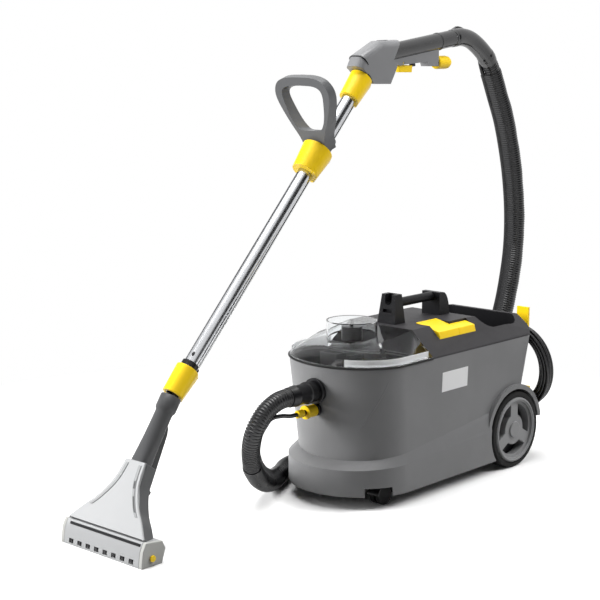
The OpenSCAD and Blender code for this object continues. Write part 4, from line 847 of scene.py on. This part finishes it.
def makeLabel():
    # a bare plate on the right side
    middleY = (label["y0"] + label["y1"]) / 2
    middleZ = (label["z0"] + label["z1"]) / 2
    top = wallPoint(0, middleY, label["z1"])
    low = wallPoint(0, middleY, label["z0"])
    size = (label["thick"], label["y1"] - label["y0"], label["z1"] - label["z0"])
    piece = blockPiece("sidePlate", size, label["edge"])
    lean = degrees(atan2(top.x - low.x, top.z - low.z))
    putAt(piece, place(*wallPoint(0, middleY, middleZ, label["proud"])), 0, lean)
    settle(piece, "labelWhite", "body_shell")


def makeLidBand():
    # a whitish frosted strip inside the lid's lower wall, longer on the right than on the left: partly the
    # lid's frosted foot, partly a painted highlight
    def run(inset, last):
        points = []
        for a in range(0, last + 1, lidBand["angleStep"]):
            t = radians(a)
            points.append(((body["halfWidth"] - inset) * cos(t),
                           body["noseY"] + body["noseDepth"] - (body["noseDepth"] - inset) * sin(t)))
        return [(body["halfWidth"] - inset, body["lidRear"] - 2 * lidBand["inset"])] + points

    for side, name in bothSides:
        last = lidBand[name.lower() + "To"]
        outline = run(lidBand["inset"], last) + run(lidBand["inset"] + lidBand["thick"], last)[::-1]
        piece = platePiece("lidBand" + name, outline, lidBand["low"], lidBand["high"],
                           lambda u, v, d: place(side * u, v, d), lidBand["edge"])
        settle(piece, "frostedLidAndHighlight", "tank_lid")


def troughLoop(inset):
    half = trough["halfWidth"] - inset
    y0, y1 = trough["y0"] + inset, trough["y1"] - inset
    r = trough["corner"] - inset
    loop = []
    centres = ((half - r, y1 - r), (r - half, y1 - r), (r - half, y0 + r), (half - r, y0 + r))
    for corner, (cx, cy) in enumerate(centres):
        for angle in range(90 * corner, 90 * corner + 91, trough["cornerStep"]):
            a = radians(angle)
            loop.append((cx + r * cos(a), cy + r * sin(a)))
    return loop


def troughTop(x, y):
    # a little below the edge of the trough, which falls to the rear and at the shoulders
    back = ramp((y - trough["frontY"]) / (trough["rearY"] - trough["frontY"]))
    top, knee, fall = [front * (1 - back) + rear * back
                       for front, rear in (trough["top"], trough["knee"], trough["fall"])]
    return top - fall * max(0.0, abs(x) - knee) - trough["below"]


def cutTrough(cover):
    # the mouth of the trough runs out over both shoulders of the cover
    cutter = prismPiece("troughCutter", troughLoop(0), trough["low"] - trough["cutRoom"],
                        trough["top"][0] + trough["cutRoom"], place)
    cut = cover.modifiers.new("troughMouth", "BOOLEAN")
    cut.operation = "DIFFERENCE"
    cut.solver = "EXACT"
    cut.object = cutter
    choose(cover)
    bpy.ops.object.modifier_apply(modifier=cut.name)
    bpy.data.objects.remove(cutter, do_unlink=True)
    choose(cover)
    smoothBelow(edges["smoothBelow"])


def makeTroughLiner():
    # the dark wall of the filling trough
    outer = troughLoop(trough["inset"])
    inner = troughLoop(trough["inset"] + trough["thick"])

    def foot(loop):
        return [place(x, y, trough["low"]) for x, y in loop]

    def rim(loop):
        return [place(x, y, troughTop(x, y)) for x, y in loop]

    loops = [foot(outer), rim(outer), rim(inner), foot(inner)]
    count = len(outer)
    faces = []
    for i in range(len(loops)):
        faces += ringFaces(i * count, (i + 1) % len(loops) * count, count)
    settle(meshPiece("troughLiner", [p for loop in loops for p in loop], faces), "handleBlack", "top_cover")


makeSealBead()
makeCrease()
makeLabel()
makeLidBand()
cutTrough(solid["top_cover"])
makeTroughLiner()
print("body trim made")

# wand: its own frame, up along the tube
wand = dict(x=-95, y=-286, z=359, tilt=46.9, elbowAt=824, clampAt=535, sleeveLength=66, tubeRadius=16,
            pipeOff=22)
# black inserts where the tube and the pipe leave the lower sleeve, and a ring at the elbow
wandRings = dict(
    tubeInsert=dict(node="lower_sleeve", radius=19.5, low=-10.5, high=5),
    pipeInsert=dict(node="lower_sleeve", radius=7, low=-10.5, high=5, off=-wand["pipeOff"]),
    elbowRing=dict(node="elbow", radius=27.5, low=wand["elbowAt"] - 5.5, high=wand["elbowAt"] + 4.5),
)
tubeCatch = dict(at=(6.825, 21.5, 14.4), size=(3.5, 5.5, 2.2), sides=24)
clamp = dict(boreRoom=2.5, pipeRadius=5.0, middle=-5.0, lowGrow=1.20, topGrow=0.08)


def onTilted(base, x, s, z):
    # a point of a leaning frame: across it, up along it and out of its front
    t = radians(base["tilt"])
    return Vector((base["x"] + x, base["y"] + s * cos(t) - z * sin(t),
                   base["z"] + s * sin(t) + z * cos(t)))


def onWand(x, s, z):
    return onTilted(wand, x, s, z)


def swellClamp(piece):
    # the clamp sleeve is stouter than the others and widens towards the D handle, round the same bores
    t = radians(wand["tilt"])
    for vert in piece.data.vertices:
        x = vert.co.x * 1000 + drawing["midX"] - wand["x"]
        y = vert.co.y * 1000 + drawing["midY"] - wand["y"]
        z = vert.co.z * 1000 - wand["z"]
        s = y * cos(t) + z * sin(t)
        depth = z * cos(t) - y * sin(t)
        nearTube = hypot(x, depth) < wand["tubeRadius"] + clamp["boreRoom"]
        nearPipe = hypot(x, depth + wand["pipeOff"]) < clamp["pipeRadius"] + clamp["boreRoom"]
        if not nearTube and not nearPipe:
            grow = clamp["lowGrow"] + clamp["topGrow"] * ramp((s - wand["clampAt"]) / wand["sleeveLength"])
            vert.co = place(*onWand(x * grow, s, clamp["middle"] + (depth - clamp["middle"]) * grow))
    piece.data.update()


def wandRing(name, node, radius, low, high, off=0.0, edge=1.2):
    profile = [(low, radius - edge), (low + edge, radius), (high - edge, radius), (high, radius - edge)]
    piece = turnedPiece(name, profile)
    putAt(piece, place(*onWand(0, 0, off)), wand["tilt"] - 90)
    settle(piece, "fittingBlack", node)


def makeTubeCatch():
    piece = added("tubeCatch", bpy.ops.mesh.primitive_uv_sphere_add, segments=tubeCatch["sides"],
                  ring_count=tubeCatch["sides"] // 2, radius=1)
    sizeTo(piece, tubeCatch["size"])
    bpy.ops.object.shade_smooth()
    putAt(piece, place(*onWand(*tubeCatch["at"])), wand["tilt"])
    settle(piece, "fittingBlack", "suction_tube")


for ringName, ringSpec in wandRings.items():
    wandRing(ringName, **ringSpec)
makeTubeCatch()
swellClamp(solid["clamp_sleeve"])

# grip: trim on the elbow, the housing and the grip tube, in the elbow's frame
roofOval = dict(at=(0, 76, 86.6), size=(17, 38, 1.6), tilt=2.4, edge=0.8, sides=40)
triggerStop = dict(at=(0, 193, 28.0), size=(11, 12, 7), tilt=4, edge=1.0)
gripCatch = dict(at=(19.6, 349, 92.5), size=(2, 4, 13), tilt=8, edge=0.6)
# a black line under the front edge of the elbow's roof, a painted shadow of its overhang
roofShade = dict(at=(-21.6, 50.4), inward=(0.66, -0.75), half=25.0, corner=17.0, cornerStep=10, drop=26.0,
            radius=1.5, sides=8)


def onElbow(x, y, z):
    base = onWand(0, wand["elbowAt"], 0)
    return base + Vector((x, y, z))


def roofShadeRings():
    # a black line under the roof, over the rounded front of the elbow: painted shadow of the roof's overhang
    half, corner = roofShade["half"], roofShade["corner"]
    run = [(half, roofShade["drop"])]
    run += [(half - corner * (1 - cos(radians(a))), corner * (1 - sin(radians(a))))
            for a in range(0, 91, roofShade["cornerStep"])]
    run += [(-x, depth) for x, depth in run[::-1]]
    inY, inZ = roofShade["inward"]
    line = [onElbow(x, roofShade["at"][0] + depth * inY, roofShade["at"][1] + depth * inZ) for x, depth in run]
    front = Vector((0, inZ, -inY)).normalized()
    rings = []
    for i, spot in enumerate(line):
        across = wayAt(line, i).cross(front).normalized()
        rings.append([spot + roofShade["radius"] * (cos(a) * front + sin(a) * across)
                      for a in turns(roofShade["sides"])])
    return rings


def makeElbowTrim():
    # an oval mark on the elbow's roof and a black line under the roof as painted shadow of its overhang, the
    # trigger's stop and the catch in the end ring
    oval = added("elbowOval", bpy.ops.mesh.primitive_cylinder_add, vertices=roofOval["sides"], radius=0.5,
                 depth=1)
    sizeTo(oval, roofOval["size"])
    roundEdges(oval, roofOval["edge"])
    putAt(oval, place(*onElbow(*roofOval["at"])), roofOval["tilt"])
    settle(oval, "neckGrey", "elbow")
    settle(tubeMesh("roofShadeLine", roofShadeRings()), "fittingBlack", "elbow")
    blockTrim("triggerStop", triggerStop, onElbow(*triggerStop["at"]), "fittingBlack", "valve_housing")
    blockTrim("gripCatch", gripCatch, onElbow(*gripCatch["at"]), "gripGrey", "grip_tube")


makeElbowTrim()
print("wand trim made")

# floor nozzle: its neck and jet, a grey back shell behind the frosted hood, edge beads and strips, and black
# blocks as painted shade in the slot and the notches of the lip; a section of the neck is its height, half
# width, half depth and squareness
neck = dict(x=-95, y=-429.6, z=171.2, tilt=55.5, sides=48,
            sections=[(156, 21.5, 21.5, 2.0), (154.5, 23, 23, 2.0), (127, 23, 23, 2.0),
                      (123, 22, 22, 2.0), (120, 20, 20, 2.0), (116, 19.2, 19.2, 2.0),
                      (90, 19.2, 19.0, 2.1), (60, 19.4, 18.6, 2.3), (35, 20, 18.2, 2.7),
                      (15, 20.6, 17.8, 3.3), (0, 21, 17.5, 4.0), (-14, 21.5, 17, 4.0)])
spine = dict(size=(10, 140, 6.7), at=(0, -40, -21.6), tilt=neck["tilt"], edge=1.5)
jet = dict(halfWidth=6.0, edge=1.0,
           outline=[(100, -19), (92, -26), (80, -31), (-40, -50), (-43, -56), (-54, -54), (-52, -44),
                    (-40, -42), (0, -26), (20, -18)])
nozzle = dict(halfWidth=118.5, fanLength=152.1, backLow=-19.0, backHigh=12.0, backEdge=1.5, grow=2.2,
              beadRadius=2.6, beadDepth=15.5, beadRings=30, beadSides=12, beadSteps=8, edgeSteps=6,
              shape=[(0, 0.24), (0.33, 0.32), (0.62, 0.54), (0.8, 0.76), (1, 0.98)],
              stripInset=6.0, stripWidth=8.0, stripLow=16.0, stripHigh=19.2, stripEdge=0.4,
              stripParts=(1, 17), marks=[(5, 8), (9, 15)], markInset=2.0, markHigh=20.0)
# black blocks that fill the suction slot and the notches of the lip: painted shade of these openings
slotShade = dict(at=(-91, -535.9, 45.5), size=(220, 3.0, 6.0), tilt=-27, edge=0.8)
notchShade = dict(y=-543.1, z=9.0, size=(5.5, 2.5, 7), tilt=0, edge=0.5, count=8, pitch=27.125)


def onNeck(x, s, z):
    return onTilted(neck, x, s, z)


def makeNeck():
    # a round cup below the sleeve, a waist, and a neck that grows square towards the fan
    rings = []
    for s, halfWidth, halfDepth, square in neck["sections"]:
        ring = []
        for a in turns(neck["sides"]):
            c, d = cos(a), sin(a)
            size = (abs(c) ** square + abs(d) ** square) ** (-1 / square)
            ring.append(onNeck(c * size * halfWidth, s, d * size * halfDepth))
        rings.append(ring)
    settle(tubeMesh("nozzleNeck", rings), "neckGrey", "nozzle_neck", ["nozzle_neck"])
    blockTrim("neckSpine", spine, onNeck(*spine["at"]), "neckGrey", "nozzle_neck")
    wedge = platePiece("sprayJet", jet["outline"], -jet["halfWidth"], jet["halfWidth"],
                       lambda u, v, d: place(*onNeck(d, u, v)), jet["edge"])
    settle(wedge, "fittingBlack", "spray_jet", ["spray_jet"])


def fanSide(grow):
    # points down one side of the fan, from the neck to the lip
    return [(share * nozzle["halfWidth"] + grow, -part * nozzle["fanLength"])
            for part, share in nozzle["shape"]]


def onFan(u, v, depth):
    return place(*onNeck(u, v, depth))


def makeBackShell():
    edge = smoothCurve([(u, v, 0) for u, v in fanSide(nozzle["grow"])], nozzle["edgeSteps"])
    right = [(p.x, p.y) for p in edge]
    outline = right + [(-u, v) for u, v in right[::-1]]
    piece = platePiece("nozzleBack", outline, nozzle["backLow"], nozzle["backHigh"], onFan,
                       nozzle["backEdge"])
    settle(piece, "shellGrey", "nozzle_neck")


def makeBeads():
    for side, name in bothSides:
        points = [onNeck(side * u, v, nozzle["beadDepth"]) for u, v in fanSide(0)]
        way = Route(smoothCurve(points, nozzle["beadSteps"]))
        rings = [roundRing(way, s, nozzle["beadRadius"], nozzle["beadSides"])
                 for s in between(0.0, way.length, nozzle["beadRings"])]
        settle(tubeMesh("hoodBead" + name, rings), "frostedHood", "nozzle_hood")


def makeEdgeStrips():
    # a greyer strip just inside each edge of the fan, and two dark marks on the right one
    edge = smoothCurve([(u - nozzle["stripInset"], v, 0) for u, v in fanSide(0)], nozzle["edgeSteps"])

    def strip(name, side, parts, inset, high, finish):
        outer = [(p.x - inset, p.y) for p in edge[parts[0]:parts[1]]]
        inner = [(p.x - nozzle["stripWidth"] + inset, p.y) for p in edge[parts[0]:parts[1]]]
        outline = [(side * u, v) for u, v in outer + inner[::-1]]
        piece = platePiece(name, outline, nozzle["stripLow"], high, onFan, nozzle["stripEdge"])
        settle(piece, finish, "nozzle_hood")

    for side, name in bothSides:
        strip("edgeStrip" + name, side, nozzle["stripParts"], 0, nozzle["stripHigh"], "frostedEdge")
    for number, parts in enumerate(nozzle["marks"]):
        strip("edgeMark%d" % (number + 1), 1, parts, nozzle["markInset"], nozzle["markHigh"], "shellGrey")


def makeLip():
    # black blocks in the suction slot and in the mouths of the notches, painted shade of these openings
    blockTrim("suctionSlot", slotShade, slotShade["at"], "fittingBlack", "nozzle_hood")
    for i in range(notchShade["count"]):
        x = neck["x"] + (i - (notchShade["count"] - 1) / 2) * notchShade["pitch"]
        spot = (x, notchShade["y"], notchShade["z"])
        blockTrim("notchShade%d" % (i + 1), notchShade, spot, "fittingBlack", "nozzle_hood")


makeNeck()
makeBackShell()
makeBeads()
makeEdgeStrips()
makeLip()
print("nozzle made")

# connections and wheels
cuff = dict(y=3.9, z=266,
            profile=[(0, 22.0), (1.5, 23.4), (18, 23.4), (20, 25.4), (25, 25.4), (27, 23.2), (58, 22.8),
                     (60, 24.2), (66, 24.2), (68, 22.8), (81, 22.8), (83.8, 21.6)])
wheel = dict(y=576, z=95, rimRadius=77.0, beadRadius=3.4, rimSides=72, beadSides=14, faceX=161.5, backX=128.0,
             back=[(0, 40), (1.2, 66), (3.0, 67), (4.2, 66), (4.6, 40)])


def makeCuff():
    piece = turnedPiece("hoseCuff", cuff["profile"])
    putAt(piece, place(0, cuff["y"], cuff["z"]), 90)
    settle(piece, "fittingBlack", "hose_cuff", ["hose_cuff"])


def makeRims():
    # a round bead on each rim, and the dark dish behind the spokes
    for side, name in bothSides:
        node = "wheel_hub_" + name.lower()
        rim = added("rim" + name, bpy.ops.mesh.primitive_torus_add, major_segments=wheel["rimSides"],
                    minor_segments=wheel["beadSides"], major_radius=mm(wheel["rimRadius"]),
                    minor_radius=mm(wheel["beadRadius"]))
        putAt(rim, place(side * wheel["faceX"], wheel["y"], wheel["z"]), 0, 90)
        bpy.ops.object.shade_smooth()
        settle(rim, "rimGrey", node)
        back = turnedPiece("hubBack" + name, wheel["back"])
        putAt(back, place(side * wheel["backX"], wheel["y"], wheel["z"]), 0, side * 90)
        settle(back, "handleBlack", node)


makeCuff()
makeRims()
print("connections and wheels made")

bpy.context.scene.view_settings.view_transform = "Standard"
